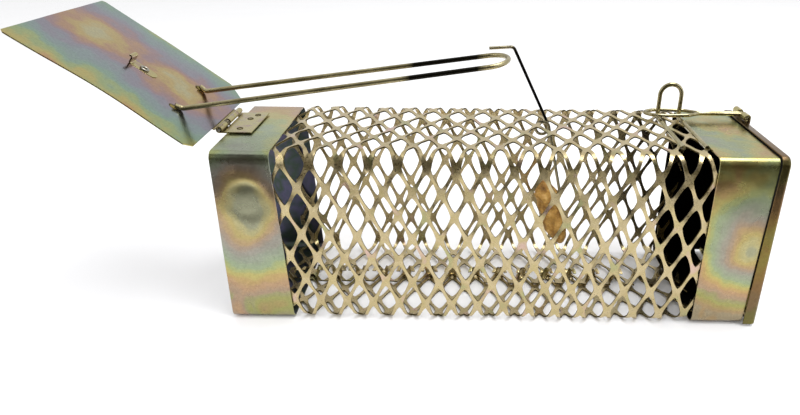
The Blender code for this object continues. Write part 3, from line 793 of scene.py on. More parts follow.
@dataclass
class MeshTube:
    """The folded tube of raised expanded metal, lapped along the middle of its floor."""

    pitch_along: float = 12.7 * MM
    pitch_round: float = 23.1 * MM
    opening_width: float = 9.0 * MM
    opening_length: float = 18.0 * MM
    opening_power: float = 1.28
    thickness: float = 0.7 * MM
    strand_steps: int = 8
    fold_radius: float = 4.0 * MM
    inset: float = 1.8 * MM
    lap_rise: float = 1.6 * MM
    lap: float = 5.0 * MM
    curl_radius: float = 1.9 * MM
    curl_turn: float = radians(235)
    strand_tilt: float = 0.09
    bulge: float = 1.4 * MM
    bulge_run: float = 9.0 * MM
    crown: float = 0.6
    drift: float = 0.032
    fan: float = 0.0125
    row_height: float = 80.7 * MM
    row_start: float = 18.1 * MM
    wave: float = 0.35 * MM

    def ring(self) -> BentLine:
        """Lay out the tube's section in YZ.

        Returns:
            The line from the floor's far half round to its curled near half.
        """
        low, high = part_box("front_collar")
        half = high.y - self.inset
        top, floor_near = high.z - self.inset - 0.05 * MM, low.z + self.inset
        floor_far = floor_near + self.lap_rise
        radius = self.fold_radius
        bend = (radius * pi / 2, pi / 2)
        stretches = (
            (half - radius + self.lap, 0.0), bend, (top - floor_far - 2 * radius, 0.0), bend,
            (2 * half - 2 * radius, 0.0), bend, (top - floor_near - 2 * radius, 0.0), bend,
            (half - radius + self.lap / 2, 0.0), (self.curl_radius * self.curl_turn, self.curl_turn),
        )
        return BentLine((-self.lap, floor_far), 0.0, stretches)

    def strand(self) -> bpy.types.Object:
        """Model one strand and its share of the bonds.

        Returns:
            A quarter of the cell round one opening, to be mirrored and repeated.
        """
        half_pitch, half_round = self.pitch_along / 2, self.pitch_round / 2
        wide, tall = self.opening_width / 2, self.opening_length / 2
        power = 2 / self.opening_power
        count = self.strand_steps
        item = lattice("mesh_tube", [float(step) for step in range(count + 3)], [0.0, 1.0])
        for vert in item.data.vertices:
            step, side = round(vert.co.x) - 1, round(vert.co.y)
            if step < 0:
                vert.co = (half_pitch, 0, 0)
            elif step > count:
                vert.co = (0, half_round, 0)
            else:
                share = step / count * pi / 2
                reach = Vector((wide * abs(cos(share)) ** power, tall * abs(sin(share)) ** power, 0))
                if side:
                    reach = Vector((half_pitch - wide * abs(sin(share)) ** power,
                                    half_round - tall * abs(cos(share)) ** power, 0))
                vert.co = reach
        return item

    def raise_strands(self, x: float, y: float) -> float:
        """How far a point of the flat sheet stands proud, because each bond is tilted.

        Args:
            x: Place along, from a bond's centre.
            y: Place round, from the same bond's row.

        Returns:
            Height over the sheet's middle.
        """
        half = self.pitch_round / 2
        row = floor(y / half)
        rise = y / half - row
        first = (row % 2) * self.pitch_along / 2
        best, middle = 1.0, 0.0
        for side in (-1, 1):
            run = side * self.pitch_along / 2
            nearest = round((x - first - rise * run) / self.pitch_along) * self.pitch_along + first
            off = abs(x - nearest - rise * run)
            ease = min(max((rise - 0.27) / 0.46, 0.0), 1.0)
            if off < best:
                best, middle = off, nearest + run * ease * ease * (3 - 2 * ease)
        return self.strand_tilt * (x - middle)

    def swell(self, x: float, front: float, rear: float) -> float:
        """How far the tube bulges between the two collars.

        Args:
            x: Place along.
            front: The front collar's edge.
            rear: The rear collar's edge.

        Returns:
            Distance outwards.
        """
        shares = [min(max(run / self.bulge_run, 0.0), 1.0) for run in (x - front + MM, rear + MM - x)]
        ease = [share * share * (3 - 2 * share) for share in shares]
        return self.bulge * ease[0] * ease[1]

    def build(self, finishes: Finishes) -> None:
        """Make the tube and dress it.

        Args:
            finishes: The trap's materials.
        """
        ring = self.ring()
        low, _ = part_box("mesh_top")
        _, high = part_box("mesh_floor_near")
        begin, end = low.x, high.x
        front_low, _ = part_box("front_collar")
        side_top = sum(length for length, _ in ring.stretches[:6])
        top = ring.at(side_top)[0].y
        row_place = side_top + top - (self.row_height - front_low.z)
        item = self.strand()
        weld(item)
        modify(item, "MIRROR", use_axis=(True, True, False), merge_threshold=0.01 * MM)
        columns = int((end - begin) / self.pitch_along) + 3
        rows = int(ring.length / self.pitch_round) + 3
        for axis, pitch, count in ((0, self.pitch_along, columns), (1, self.pitch_round, rows)):
            offset = [0.0, 0.0, 0.0]
            offset[axis] = pitch
            modify(item, "ARRAY", count=count, use_relative_offset=False, use_constant_offset=True,
                   constant_offset_displace=offset, use_merge_vertices=True, merge_threshold=0.02 * MM)
        columns_before = int((self.row_start - begin) / self.pitch_along) + 1
        rows_before = int(row_place / self.pitch_round) + 1
        shift = Vector((self.row_start - columns_before * self.pitch_along,
                        row_place + self.pitch_round / 2 - rows_before * self.pitch_round, 0))
        for vert in item.data.vertices:
            place = vert.co + shift
            rise = self.raise_strands(place.x - self.row_start, place.y - row_place)
            vert.co = (place.x, place.y + self.drift * (place.x - self.row_start), rise)
        for cut, side in (((begin, 0, 0), (-1, 0, 0)), ((end, 0, 0), (1, 0, 0)),
                          ((0, 0, 0), (0, -1, 0)), ((0, ring.length, 0), (0, 1, 0))):
            with editing(item, Pick.FACE, everything):
                bpy.ops.mesh.bisect(plane_co=cut, plane_no=side, clear_outer=True, clear_inner=False)
        with editing(item, Pick.FACE, everything):
            bpy.ops.mesh.normals_make_consistent(inside=False)
        middle = (top + front_low.z) / 2
        front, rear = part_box("front_collar")[1].x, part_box("rear_collar")[0].x
        for vert in item.data.vertices:
            along, round_, rise = vert.co
            place, normal = ring.at(round_)
            wave = self.wave * noise.noise(Vector((along, round_, 0)) / (34 * MM))
            height = min(max((place.y - middle) / middle, -1.0), 1.0)
            swell = self.swell(along, front, rear) * (1 + self.crown * max(height, 0.0))
            place = place + normal * (rise + wave + swell)
            vert.co = (along + self.fan * (along - self.row_start) * height, place.x, place.y)
        open_slots(item)
        modify(item, "SOLIDIFY", thickness=self.thickness, offset=0.0, material_offset_rim=1)
        modify(item, "BEVEL", width=0.16 * MM, segments=1, limit_method="ANGLE", angle_limit=radians(55))
        shade(item, 40)
        dress(item, finishes.mesh, finishes.sheared)
        settle(item, Body.CAGE, Slot.MESH, "mesh_top", "mesh_near_side", "mesh_far_side",
               "mesh_floor_near", "mesh_floor_far")


@dataclass
class Collar:
    """A sleeve of sheet steel round one end of the tube.

    Attributes:
        node: The CAD node that it stands for.
        finish: Its outer finish.
        dimple: Centre along X and Z of a round dimple in the near side, or None.
        skew: How much longer the sleeve is at its foot than at its top.
    """

    node: str
    finish: PlatedSheet
    dimple: tuple[float, float] | None = None
    skew: float = 0.0
    gauge: float = 0.6 * MM
    corner: float = 4.5 * MM
    dimple_radius: float = 10.5 * MM
    dimple_depth: float = 0.38 * MM
    wave: float = 0.25 * MM

    def build(self, finishes: Finishes) -> None:
        """Make the sleeve and dress it.

        Args:
            finishes: The trap's materials.
        """
        low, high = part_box(self.node)
        item = block(f"{self.node}_sheet", low, high)
        with editing(item, Pick.FACE, lambda face: abs(face.normal.x) > 0.9):
            bpy.ops.mesh.delete(type="FACE")
        span = high.x - low.x

        def runs_along(edge: bpy.types.MeshEdge) -> bool:
            """An edge that spans the sleeve's length."""
            first, second = (item.data.vertices[index].co for index in edge.vertices)
            return abs(first.x - second.x) > span * 0.9

        def runs_across(edge: bpy.types.MeshEdge) -> bool:
            """An edge that spans a flat face from fold to fold."""
            first, second = (item.data.vertices[index].co for index in edge.vertices)
            return (first - second).length > 20 * MM and abs(first.x - second.x) < MM

        with editing(item, Pick.EDGE, runs_along):
            bpy.ops.mesh.bevel(offset=self.corner, segments=8, affect="EDGES")
        with editing(item, Pick.EDGE, runs_along):
            bpy.ops.mesh.subdivide(number_cuts=22)
        with editing(item, Pick.EDGE, runs_across):
            bpy.ops.mesh.subdivide(number_cuts=56)
        for vert in item.data.vertices:
            self.shape(vert, low, high)
        thicken(item, self.gauge, inner=1)
        # Inner faces take painted shade: darkened film colours in the front collar, near black in the rear
        # collar.
        dress(item, self.finish.build(), finishes.inside if self.dimple else finishes.shadowed)
        settle(item, Body.CAGE, Slot.COLLAR, self.node)

    def shape(self, vert: bpy.types.MeshVertex, low: Vector, high: Vector) -> None:
        """Press the dimple and give the flat faces their slight waves.

        Args:
            vert: A point of the sleeve.
            low: The sleeve's lowest corner.
            high: The sleeve's highest corner.
        """
        place = vert.co.copy()
        vert.co.x += self.skew * (1 - place.z / high.z) * (place.x - low.x) / (high.x - low.x)
        lift = self.wave * (0.5 + 0.5 * noise.noise(place / (30 * MM)))
        if place.y < low.y + 0.1 * MM:
            vert.co.y += lift
            if self.dimple:
                off = Vector((place.x - self.dimple[0], place.z - self.dimple[1])).length / self.dimple_radius
                slope = 0.55 - 0.3 * min(max((place.z - self.dimple[1]) / self.dimple_radius, -1.0), 1.0)
                share = min(max((1.15 - off) / slope, 0.0), 1.0)
                vert.co.y += self.dimple_depth * share * share * (3 - 2 * share) * (1 - 0.25 * off)
        elif place.y > high.y - 0.1 * MM:
            vert.co.y -= lift
        elif place.z > high.z - 0.1 * MM:
            vert.co.z -= lift


@dataclass
class DoorFrame:
    """The front door's own frame, on its hinge axis: X towards the lever's end, Z out of its face."""

    set_angle: float = radians(35.5)

    def __post_init__(self) -> None:
        """Read the hinge axis from the frame."""
        joint = next(item for item in frame["joints"] if item["name"] == "front_door_hinge")
        self.axis = Vector((joint["pos_m"][0], 0, joint["pos_m"][2]))
        self.matrix = Matrix.Translation(self.axis) @ Matrix.Rotation(self.set_angle, 4, "Y")


@dataclass
class FrontDoor:
    """The drop door: a slightly bowed plate with its lever, its finger lug and its hinge."""

    width: float = 87.0 * MM
    gauge: float = 0.6 * MM
    bow: float = 1.5 * MM
    seam: float = 0.3 * MM
    leaf_centre: float = 1.25 * MM
    knuckle_radius: float = 1.55 * MM
    knuckle_room: float = 0.9 * MM
    lever_wire: float = 2.3 * MM
    lever_length: float = 152.5 * MM
    lever_angle: float = radians(43.6)
    lever_offset: float = -1.8 * MM
    foot_spread: float = 31.0 * MM
    end_spread: float = 25.0 * MM
    foot_place: float = 17.5 * MM
    foot_length: float = 3.2 * MM
    lug_place: float = 42.5 * MM
    lug_offset: float = -3.0 * MM

    def build(self, finishes: Finishes) -> None:
        """Make the door's pieces and dress them.

        Args:
            finishes: The trap's materials.
        """
        self.place = DoorFrame()
        self.face = self.gauge + self.seam - self.leaf_centre + self.gauge / 2
        self.edge = self.knuckle_radius + self.knuckle_room
        self.build_plate()
        self.build_lever(finishes)
        self.build_lug(finishes)

    def finish(self) -> PlatedSheet:
        """Set out the plate's film.

        Returns:
            A finish that is gold in two lobes, and mauve and blue round the lug and along the edges.
        """
        return PlatedSheet(
            "passivated_zinc_door",
            wells=(Well((-27, 4, 0), (84, 66, 60), 0.04), Well((-69, 6, 0), (84, 66, 60), 0.04)),
            film=(0.66, 0.88), patch=22.0, tint="#DCD5C6", fade=0.0, rough=(0.14, 0.24),
            turn=-self.place.set_angle, origin=tuple(value / MM for value in self.place.axis), bow=0.25)

    def build_plate(self) -> None:
        """Make the plate, cut back at its corners, bowed and slightly rippled."""
        half = self.width / 2
        steps = 44
        far, near = -self.place.axis.z + MM, -self.edge
        across = [far + (near - far) * step / steps for step in range(steps + 1)]
        along = [-half + self.width * step / steps for step in range(steps + 1)]
        item = lattice("front_door_plate", across, along)
        cuts = (((near - 3.5 * MM, -half, 0), (4, -3.5, 0)), ((near - 10.5 * MM, half, 0), (4, 10.5, 0)),
                ((far + 1.5 * MM, -half, 0), (-1, -1, 0)), ((far + 1.5 * MM, half, 0), (-1, 1, 0)))
        for point, side in cuts:
            with editing(item, Pick.FACE, everything):
                bpy.ops.mesh.bisect(plane_co=point, plane_no=side, clear_outer=True)
        for vert in item.data.vertices:
            share = (vert.co.x - near) / (far - near)
            ripple = 0.25 * MM * noise.noise(vert.co / (26 * MM))
            bow = self.bow * sin(pi * share) ** 2 * (0.6 - 0.4 * vert.co.y / half)
            vert.co.z = self.face + bow + ripple * share
        thicken(item, self.gauge)
        item.data.transform(self.place.matrix)
        dress(item, self.finish().build())
        settle(item, Body.FRONT_DOOR, Slot.DOOR, "front_door")

    def build_lever(self, finishes: Finishes) -> None:
        """Make the wire lever, with a weld at each foot."""
        seat = self.face + 0.3 * MM + self.lever_wire / 2
        direction = Vector((cos(self.lever_angle), 0, sin(self.lever_angle)))
        bend = Vector((-self.foot_place, 0, seat))
        end = bend + direction * (self.lever_length - self.end_spread / 2)
        foot_half, end_half = self.foot_spread / 2, self.end_spread / 2
        across = Vector((0, 1, 0))
        side = [Vector((-self.foot_place - self.foot_length, -foot_half - 1.5 * MM, seat)),
                bend - across * foot_half, end - across * end_half]
        tip = [end + direction * end_half * 0.75 * cos(angle) + across * end_half * sin(angle)
               for angle in (pi * (step / 24 - 0.5) for step in range(1, 24))]
        path = rounded(side, 2.5 * MM, 10)
        mirrored = [Vector((point.x, -point.y, point.z)) for point in reversed(path)]
        points = [point + across * self.lever_offset for point in path + tip + mirrored]
        item = rod("lever_wire", points, self.lever_wire)
        item.data.transform(self.place.matrix)
        # The dark stretch along the arms is a painted reflection of dark surroundings.
        finish = DarkStretchWire("burnt_zinc_wire", "#23211B", ("#8E8563", "#B3A983"), (72 * MM, 106 * MM))
        dress(item, finish.build())
        settle(item, Body.FRONT_DOOR, Slot.WIRE, "lever")
        for name, foot in (("near", points[0]), ("far", points[-1])):
            bpy.ops.object.select_all(action="DESELECT")
            bpy.ops.mesh.primitive_uv_sphere_add(segments=20, ring_count=12, radius=1.9 * MM,
                                                 location=(foot.x - 0.3 * MM, foot.y, self.face + 0.1 * MM),
                                                 scale=(1.2, 1.0, 0.55))
            bead = adopt(f"lever_weld_{name}")
            for vert in bead.data.vertices:
                vert.co += 0.25 * MM * noise.noise_vector(vert.co / (1.3 * MM))
            shade(bead, 80)
            bead.data.transform(self.place.matrix)
            dress(bead, finishes.sheared)
            settle(bead, Body.FRONT_DOOR, Slot.WIRE)

    def build_lug(self, finishes: Finishes) -> None:
        """Make the finger lug, folded up at one end, and the eyelet that holds it."""
        seat = self.face + 0.75 * MM
        gauge = 0.8 * MM
        half, width = 6.25 * MM, 6.0 * MM
        fold = 1.0 * MM
        line = BentLine((half, seat), pi, ((2 * half - fold, 0.0), (fold * pi / 2, -pi / 2), (2.0 * MM, 0.0),
                                           (0.7 * MM * pi * 0.8, pi * 0.8)))
        edges = [width * (step / 12 - 0.5) for step in range(13)]
        item = bent_sheet("door_lug_strip", line, edges, gauge, longest=0.6 * MM)
        for vert in item.data.vertices:
            reach = half - width / 2
            off = vert.co.x - reach
            limit = (max((width / 2) ** 2 - off * off, 0.0)) ** 0.5 if off > 0 else width / 2
            vert.co.y *= limit / (width / 2)
        weld(item, 0.005 * MM)
        shade(item)
        spot = Matrix.Translation((-self.lug_place, self.lug_offset, 0))
        item.data.transform(self.place.matrix @ spot)
        dress(item, finishes.hinge)
        settle(item, Body.FRONT_DOOR, Slot.HINGE, "door_lug")
        bpy.ops.object.select_all(action="DESELECT")
        bpy.ops.mesh.primitive_torus_add(major_segments=32, minor_segments=12, major_radius=1.5 * MM,
                                         minor_radius=0.65 * MM, location=(0, 0, seat + 0.6 * MM))
        eyelet = adopt("door_lug_eyelet")
        shade(eyelet, 80)
        eyelet.data.transform(self.place.matrix @ spot)
        dress(eyelet, finishes.pin)
        settle(eyelet, Body.FRONT_DOOR, Slot.PIN, "door_lug_rivet")


@dataclass
class RolledHinge:
    """A butt hinge of rolled sheet: two leaves curled round one pin.

    Attributes:
        axis: A point on the pin's line.
        pin: Pin diameter.
    """

    axis: Vector
    pin: float = 1.4 * MM
    play: float = 0.25 * MM
    gauge: float = 0.6 * MM
    curl: float = radians(285)
    notch: float = 1.6 * MM

    def leaf(self, name: str, length: float, edges: Sequence[float], kept: Sequence[tuple[float, float]],
             side: int, turn: float) -> bpy.types.Object:
        """Make one leaf.

        Args:
            name: The piece's name.
            length: Reach of the leaf from the pin's line.
            edges: Places across it where it may be cut.
            kept: Stretches across it that keep their curl.
            side: 1 if the leaf runs to +X, -1 to -X.
            turn: The leaf's turn about the pin.

        Returns:
            The leaf.
        """
        radius = self.pin / 2 + self.play + self.gauge / 2
        curl_length = radius * self.curl
        start_angle = 1.5 * pi - self.curl
        start = (radius * cos(start_angle), radius * sin(start_angle))
        line = BentLine(start, start_angle + pi / 2,
                        ((curl_length, self.curl), (self.notch, 0.0), (length - self.notch, 0.0)))

        def gone(along: float, across: float) -> bool:
            """The curl is cut away between the knuckles."""
            return along < curl_length + self.notch and not any(low < across < high for low, high in kept)

        item = bent_sheet(name, line, edges, self.gauge, gone)
        if side < 0:
            item.data.transform(Matrix.Scale(-1, 4, (1, 0, 0)))
            weld(item, 0.002 * MM)
            shade(item)
        line = Vector((self.axis.x, 0, self.axis.z))
        item.data.transform(Matrix.Translation(line) @ Matrix.Rotation(turn, 4, "Y"))
        return item

    def bar(self, name: str, low: float, high: float) -> bpy.types.Object:
        """Make the pin, with the rims of its flat ends slightly rounded.

        Args:
            name: The piece's name.
            low: The near end along Y.
            high: The far end along Y.

        Returns:
            The pin.
        """
        bpy.ops.object.select_all(action="DESELECT")
        bpy.ops.mesh.primitive_cylinder_add(vertices=32, radius=self.pin / 2, depth=high - low,
                                            location=(self.axis.x, (low + high) / 2, self.axis.z),
                                            rotation=(pi / 2, 0, 0))
        item = adopt(name)
        with editing(item, Pick.FACE, lambda face: abs(face.normal.y) > 0.9):
            bpy.ops.mesh.inset(thickness=0.2 * MM)
            bpy.ops.mesh.inset(thickness=0.15 * MM)
        modify(item, "BEVEL", width=0.15 * MM, segments=2, limit_method="ANGLE")
        shade(item)
        return item


@dataclass
class FrontHinge:
    """The front door's spring hinge on the collar's top."""

    set_angle: float = radians(35.5)
    near_knuckle: float = 9.0 * MM
    far_knuckle: float = 6.5 * MM
    spring_room: float = 3.9 * MM

    def build(self, finishes: Finishes) -> None:
        """Make the leaves, the pin and the spring, and dress them.

        Args:
            finishes: The trap's materials.
        """
        axis = DoorFrame().axis
        collar_low, collar_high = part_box("collar_hinge_leaf")
        low, high = collar_low.y, collar_high.y
        hinge = RolledHinge(axis)
        near = (low, low + self.near_knuckle)
        far = (high - self.far_knuckle, high)
        middle = (near[1] + self.spring_room + 0.6 * MM, far[0] - 0.3 * MM)
        edges = [low, near[1], middle[0], middle[1], far[0], high]
        for name, side, turn, kept, body, length in (
                ("collar_hinge_leaf", 1, 0.0, (near, far), Body.CAGE, collar_high.x - axis.x),
                ("door_hinge_leaf", -1, self.set_angle, (middle,), Body.FRONT_DOOR, 12 * MM)):
            item = hinge.leaf(f"{name}_strip", length, edges, kept, side, turn)
            dress(item, finishes.hinge)
            settle(item, body, Slot.HINGE, name)
        pin = hinge.bar("front_hinge_pin_bar", low - 0.3 * MM, high + 0.3 * MM)
        dress(pin, finishes.pin)
        settle(pin, Body.CAGE, Slot.PIN, "front_hinge_pin")
        self.build_spring(axis, near[1] + 0.3 * MM, finishes)
        self.build_weld_marks(axis, finishes)

    def build_spring(self, axis: Vector, start: float, finishes: Finishes) -> None:
        """Wind the closing spring between the near knuckle and the door's.

        Args:
            axis: A point on the pin's line.
            start: Where the first turn begins along Y.
            finishes: The trap's materials.
        """
        radius, wire, turns, leg = 1.25 * MM, 0.6 * MM, 3, 9.0 * MM
        first = 1.5 * pi - self.set_angle
        sweep = 2 * pi * turns + self.set_angle
        steps = 36 * turns
        coil = []
        for step in range(steps + 1):
            angle = first + sweep * step / steps
            advance = (wire + 0.3 * MM) * sweep * step / steps / (2 * pi)
            coil.append(axis + Vector((radius * cos(angle), start + wire / 2 + advance, radius * sin(angle))))
        along_door = Vector((-cos(self.set_angle), 0, sin(self.set_angle)))
        points = [coil[0] + along_door * leg, *coil, coil[-1] + Vector((leg, 0, 0))]
        item = rod("door_spring_coil", points, wire)
        dress(item, finishes.spring)
        settle(item, Body.CAGE, Slot.SPRING, "door_spring")

    def build_weld_marks(self, axis: Vector, finishes: Finishes) -> None:
        """Sink the spot welds that hold the leaf to the collar.

        Args:
            axis: A point on the pin's line.
            finishes: The trap's materials.
        """
        for index, (along, across) in enumerate(((8.0, -7.0), (8.5, 9.0), (10.5, 15.5))):
            bpy.ops.object.select_all(action="DESELECT")
            bpy.ops.mesh.primitive_torus_add(
                major_segments=28, minor_segments=8, major_radius=1.3 * MM, minor_radius=0.22 * MM,
                location=(axis.x + along * MM, across * MM, axis.z - 0.92 * MM))
            mark = adopt(f"leaf_spot_weld_{index + 1}")
            shade(mark, 80)
            dress(mark, finishes.sheared)
            settle(mark, Body.CAGE, Slot.HINGE)


@dataclass
class Trigger:
    """The trigger wire, coiled once round a strand, and the bait on its hook."""

    wire: float = 1.5 * MM
    loop_radius: float = 3.3 * MM
    loop_pitch: float = 1.9 * MM
    hook_lead: float = 2.0 * MM
    lean: float = 0.2

    def build(self, finishes: Finishes) -> None:
        """Make the wire and the bait, and dress them.

        Args:
            finishes: The trap's materials.
        """
        joint = next(item for item in frame["joints"] if item["name"] == "trigger_pivot")
        pivot = Vector(joint["pos_m"])
        points = [pivot + point for point in self.path(pivot)]
        item = rod("trigger_wire_form", points, self.wire)
        # The wire is coloured near black from 3 mm above the coil's centre upwards, past the first 10.5 mm of
        # the hook.
        finish = DarkStretchWire("blackened_spring_wire", "#14130F", ("#8C8468", "#B0A78A"),
                           (points[0].x + 10.5 * MM, 1.0), pivot.z + 3 * MM)
        dress(item, finish.build())
        settle(item, Body.TRIGGER, Slot.TRIGGER, "trigger")
        self.build_bait(finishes)

    def path(self, pivot: Vector) -> list[Vector]:
        """The wire's centre line from the pivot: hook, one coil, and the bait hook below.

        Args:
            pivot: The coil's centre.

        Returns:
            Points from the pivot.
        """
        lever_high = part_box("lever")[1]
        _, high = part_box("trigger")
        low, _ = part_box("trigger")
        over = high.z - pivot.z - self.wire / 2 - 0.8 * MM
        hook = Vector((low.x + 0.4 * MM - pivot.x, 0, over))
        bend = Vector((lever_high.x + self.hook_lead - pivot.x, 0, over + 0.8 * MM))
        radius, pitch = self.loop_radius, self.loop_pitch
        leave = self.tangent(Vector((bend.x, bend.z)), radius)
        steps = 48
        loop = []
        for step in range(steps + 1):
            angle = (2 * pi + leave) * (1 - step / steps)
            loop.append(Vector((radius * cos(angle), pitch * (0.5 - step / steps), radius * sin(angle))))
        raised = [Vector((point.x, loop[0].y, point.z)) for point in (hook, bend)]
        low_y = loop[-1].y
        drop = pivot.z - low.z + 0.6 * MM
        shape = ((0.3, 0, 0.28), (1.0, 0, 0.85), (-3.5, 0, 1), (-9.0, -2.0, 0.84))
        bottom = [Vector((radius + x * MM + self.lean * share * drop, low_y + y * MM, -share * drop))
                  for x, y, share in shape]
        return (rounded([*raised, loop[0]], 2.5 * MM)[:-1] + loop
                + rounded([loop[-1], *bottom], 3 * MM)[1:])

    @staticmethod
    def tangent(away: Vector, radius: float) -> float:
        """Find where a straight run meets the coil.

        Args:
            away: The run's far end, from the coil's centre.
            radius: The coil's radius.

        Returns:
            Angle round the coil, in radians.
        """
        angle = 0.0
        for _ in range(6):
            run = away - radius * Vector((cos(angle), sin(angle)))
            angle = atan2(run.y, run.x) - pi / 2
        return angle

    def build_bait(self, finishes: Finishes) -> None:
        """Model the lump of bread, rough all over."""
        low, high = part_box("bait")
        centre = (low + high) / 2
        tilt = Matrix.Rotation(radians(-20), 4, "Y")
        bpy.ops.object.select_all(action="DESELECT")
        bpy.ops.mesh.primitive_ico_sphere_add(subdivisions=5, radius=0.5)
        item = adopt("bait_bread")
        length, thick = 39.5 * MM, 10.6 * MM
        for vert in item.data.vertices:
            x, y, z = vert.co
            blunt = 1 + 0.24 * sin(pi * min(abs(2 * z), 1.0)) ** 2
            lump = 1 + 0.22 * noise.noise(Vector((x, y, 3.1 * z)) * 2.4) + 0.07 * noise.noise(vert.co * 15)
            vert.co = Vector((x * thick * blunt * lump, y * thick * blunt * lump, z * length))
            crumb = noise.noise(vert.co / (1.6 * MM)) * 0.35 * MM
            vert.co += vert.normal * crumb
        item.data.transform(Matrix.Translation(centre) @ tilt)
        shade(item, 80)
        dress(item, finishes.bread)
        settle(item, Body.TRIGGER, Slot.BREAD, "bait")


@dataclass
class RearDoor:
    """The rear door: a shallow pan hinged at its foot, latched by a wire hasp over a staple."""

    gauge: float = 0.6 * MM
    corner: float = 4.5 * MM
    lip: float = 1.4 * MM
    skew: float = -2.0 * MM
    foot: float = 0.9 * MM
    hasp_wire: float = 1.8 * MM
    eye_length: float = 21.0 * MM
    eye_width: float = 11.0 * MM
    axle_width: float = 15.0 * MM
    clip_half: float = 8.2 * MM
    staple_wire: float = 2.2 * MM
    staple_spread: float = 10.8 * MM
    knuckle: float = 14.0 * MM

    def build(self, finishes: Finishes) -> None:
        """Make the pan, its hinge, the hasp and the staple, and dress them.

        Args:
            finishes: The trap's materials.
        """
        self.build_pan(finishes)
        self.build_hinge(finishes)
        self.build_hasp(finishes)
        self.build_staple(finishes)

    def build_pan(self, finishes: Finishes) -> None:
        """Make the pan, open towards the collar and at its foot."""
        low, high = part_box("rear_door")
        low.z = self.foot
        item = block("rear_door_pan", low, high)
        with editing(item, Pick.FACE, lambda face: face.normal.x < -0.9 or face.normal.z < -0.9):
            bpy.ops.mesh.delete(type="FACE")

        def side_fold(edge: bpy.types.MeshEdge) -> bool:
            """A fold between the top lip and a side lip."""
            first, second = (item.data.vertices[index].co for index in edge.vertices)
            return abs(first.x - second.x) > MM and first.z > high.z - 0.1 * MM and abs(first.y) > high.y - MM

        def plate_fold(edge: bpy.types.MeshEdge) -> bool:
            """A fold between the plate and a lip."""
            first, second = (item.data.vertices[index].co for index in edge.vertices)
            both = first.x > high.x - 0.1 * MM and second.x > high.x - 0.1 * MM
            on_side = abs(first.y) > high.y - self.corner - MM and abs(second.y) > high.y - self.corner - MM
            on_top = first.z > high.z - self.corner - MM and second.z > high.z - self.corner - MM
            return both and (on_side and (first.y * second.y > 0) or on_top)

        with editing(item, Pick.EDGE, side_fold):
            bpy.ops.mesh.bevel(offset=self.corner, segments=8, affect="EDGES")
        with editing(item, Pick.EDGE, plate_fold):
            bpy.ops.mesh.bevel(offset=self.lip, segments=5, affect="EDGES")
        for vert in item.data.vertices:
            x, _, z = vert.co
            vert.co.x += self.skew * (1 - z / high.z) * (high.x - x) / (high.x - low.x)
        thicken(item, self.gauge, inner=1)
        finish = PlatedSheet(
            "passivated_zinc_rear_door",
            wells=(Well((241, 6, 44), (60, 70, 46), 0.1),), film=(0.9, 1.3), patch=24.0,
            tint="#A69B79")
        # The pan's inner face takes the near-black painted shade.
        dress(item, finish.build(), finishes.shadowed)
        settle(item, Body.REAR_DOOR, Slot.DOOR, "rear_door")

    def build_hinge(self, finishes: Finishes) -> None:
        """Make the hinge under the rear door."""
        joint = next(item for item in frame["joints"] if item["name"] == "rear_door_hinge")
        axis = Vector(joint["pos_m"])
        hinge = RolledHinge(axis)
        _, door_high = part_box("rear_hinge_door_leaf")
        half = door_high.y
        inner = half - self.knuckle
        item = hinge.leaf("rear_hinge_door_strip", 12 * MM, [-half, -inner, inner, half],
                          ((-half, -inner), (inner, half)), 1, -pi / 2)
        dress(item, finishes.hinge)
        settle(item, Body.REAR_DOOR, Slot.HINGE, "rear_hinge_door_leaf")
        inner -= 0.3 * MM
        item = hinge.leaf("rear_hinge_collar_strip", 12 * MM, [-inner, inner], ((-inner, inner),), -1, 0.0)
        dress(item, finishes.hinge)
        settle(item, Body.CAGE, Slot.HINGE, "rear_hinge_collar_leaf")
        pin = hinge.bar("rear_hinge_pin_bar", -half - 0.3 * MM, half + 0.3 * MM)
        dress(pin, finishes.pin)
        settle(pin, Body.CAGE, Slot.PIN, "rear_hinge_pin")

    def build_hasp(self, finishes: Finishes) -> None:
        """Bend the hasp from one wire, and roll the clip that it turns in."""
        joint = next(item for item in frame["joints"] if item["name"] == "hasp_hinge")
        axis = Vector(joint["pos_m"])
        low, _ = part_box("hasp")
        wire = self.hasp_wire
        eye_end = low.x + wire / 2 + self.eye_length - axis.x
        eye_half, axle_half = self.eye_width / 2, self.axle_width / 2
        neck = (wire + 0.3 * MM) / 2
        eye_middle = eye_end - self.eye_length / 2
        side = [(0, axle_half), (0, neck), (-8.0 * MM, neck), (eye_end + 6 * MM, neck),
                (eye_end, eye_half * 0.82), (eye_middle, eye_half)]
        side += [(eye_middle + self.eye_length / 2 * cos(angle), eye_half * sin(angle))
                 for angle in (pi * (0.5 + step / 24) for step in range(1, 12))]
        path = rounded([Vector((x, y, 0)) for x, y in side], 1.5 * MM, 6)
        tip = [Vector((eye_middle - self.eye_length / 2, 0, 0))]
        points = [axis + point
                  for point in path + tip + [Vector((point.x, -point.y, 0)) for point in reversed(path)]]
        item = rod("hasp_wire_form", points, wire)
        dress(item, finishes.wire)
        settle(item, Body.HASP, Slot.WIRE, "hasp")
        clip = RolledHinge(axis, pin=wire)
        slot_half = neck + wire / 2 + 0.5 * MM
        edges = [axis.y + place for place in (-self.clip_half, -slot_half, slot_half, self.clip_half)]
        item = clip.leaf("hasp_clip_strip", 14 * MM, edges, (tuple(edges[:2]), tuple(edges[2:])), -1, -pi / 2)
        dress(item, finishes.hinge)
        settle(item, Body.REAR_DOOR, Slot.HINGE, "hasp_clip")

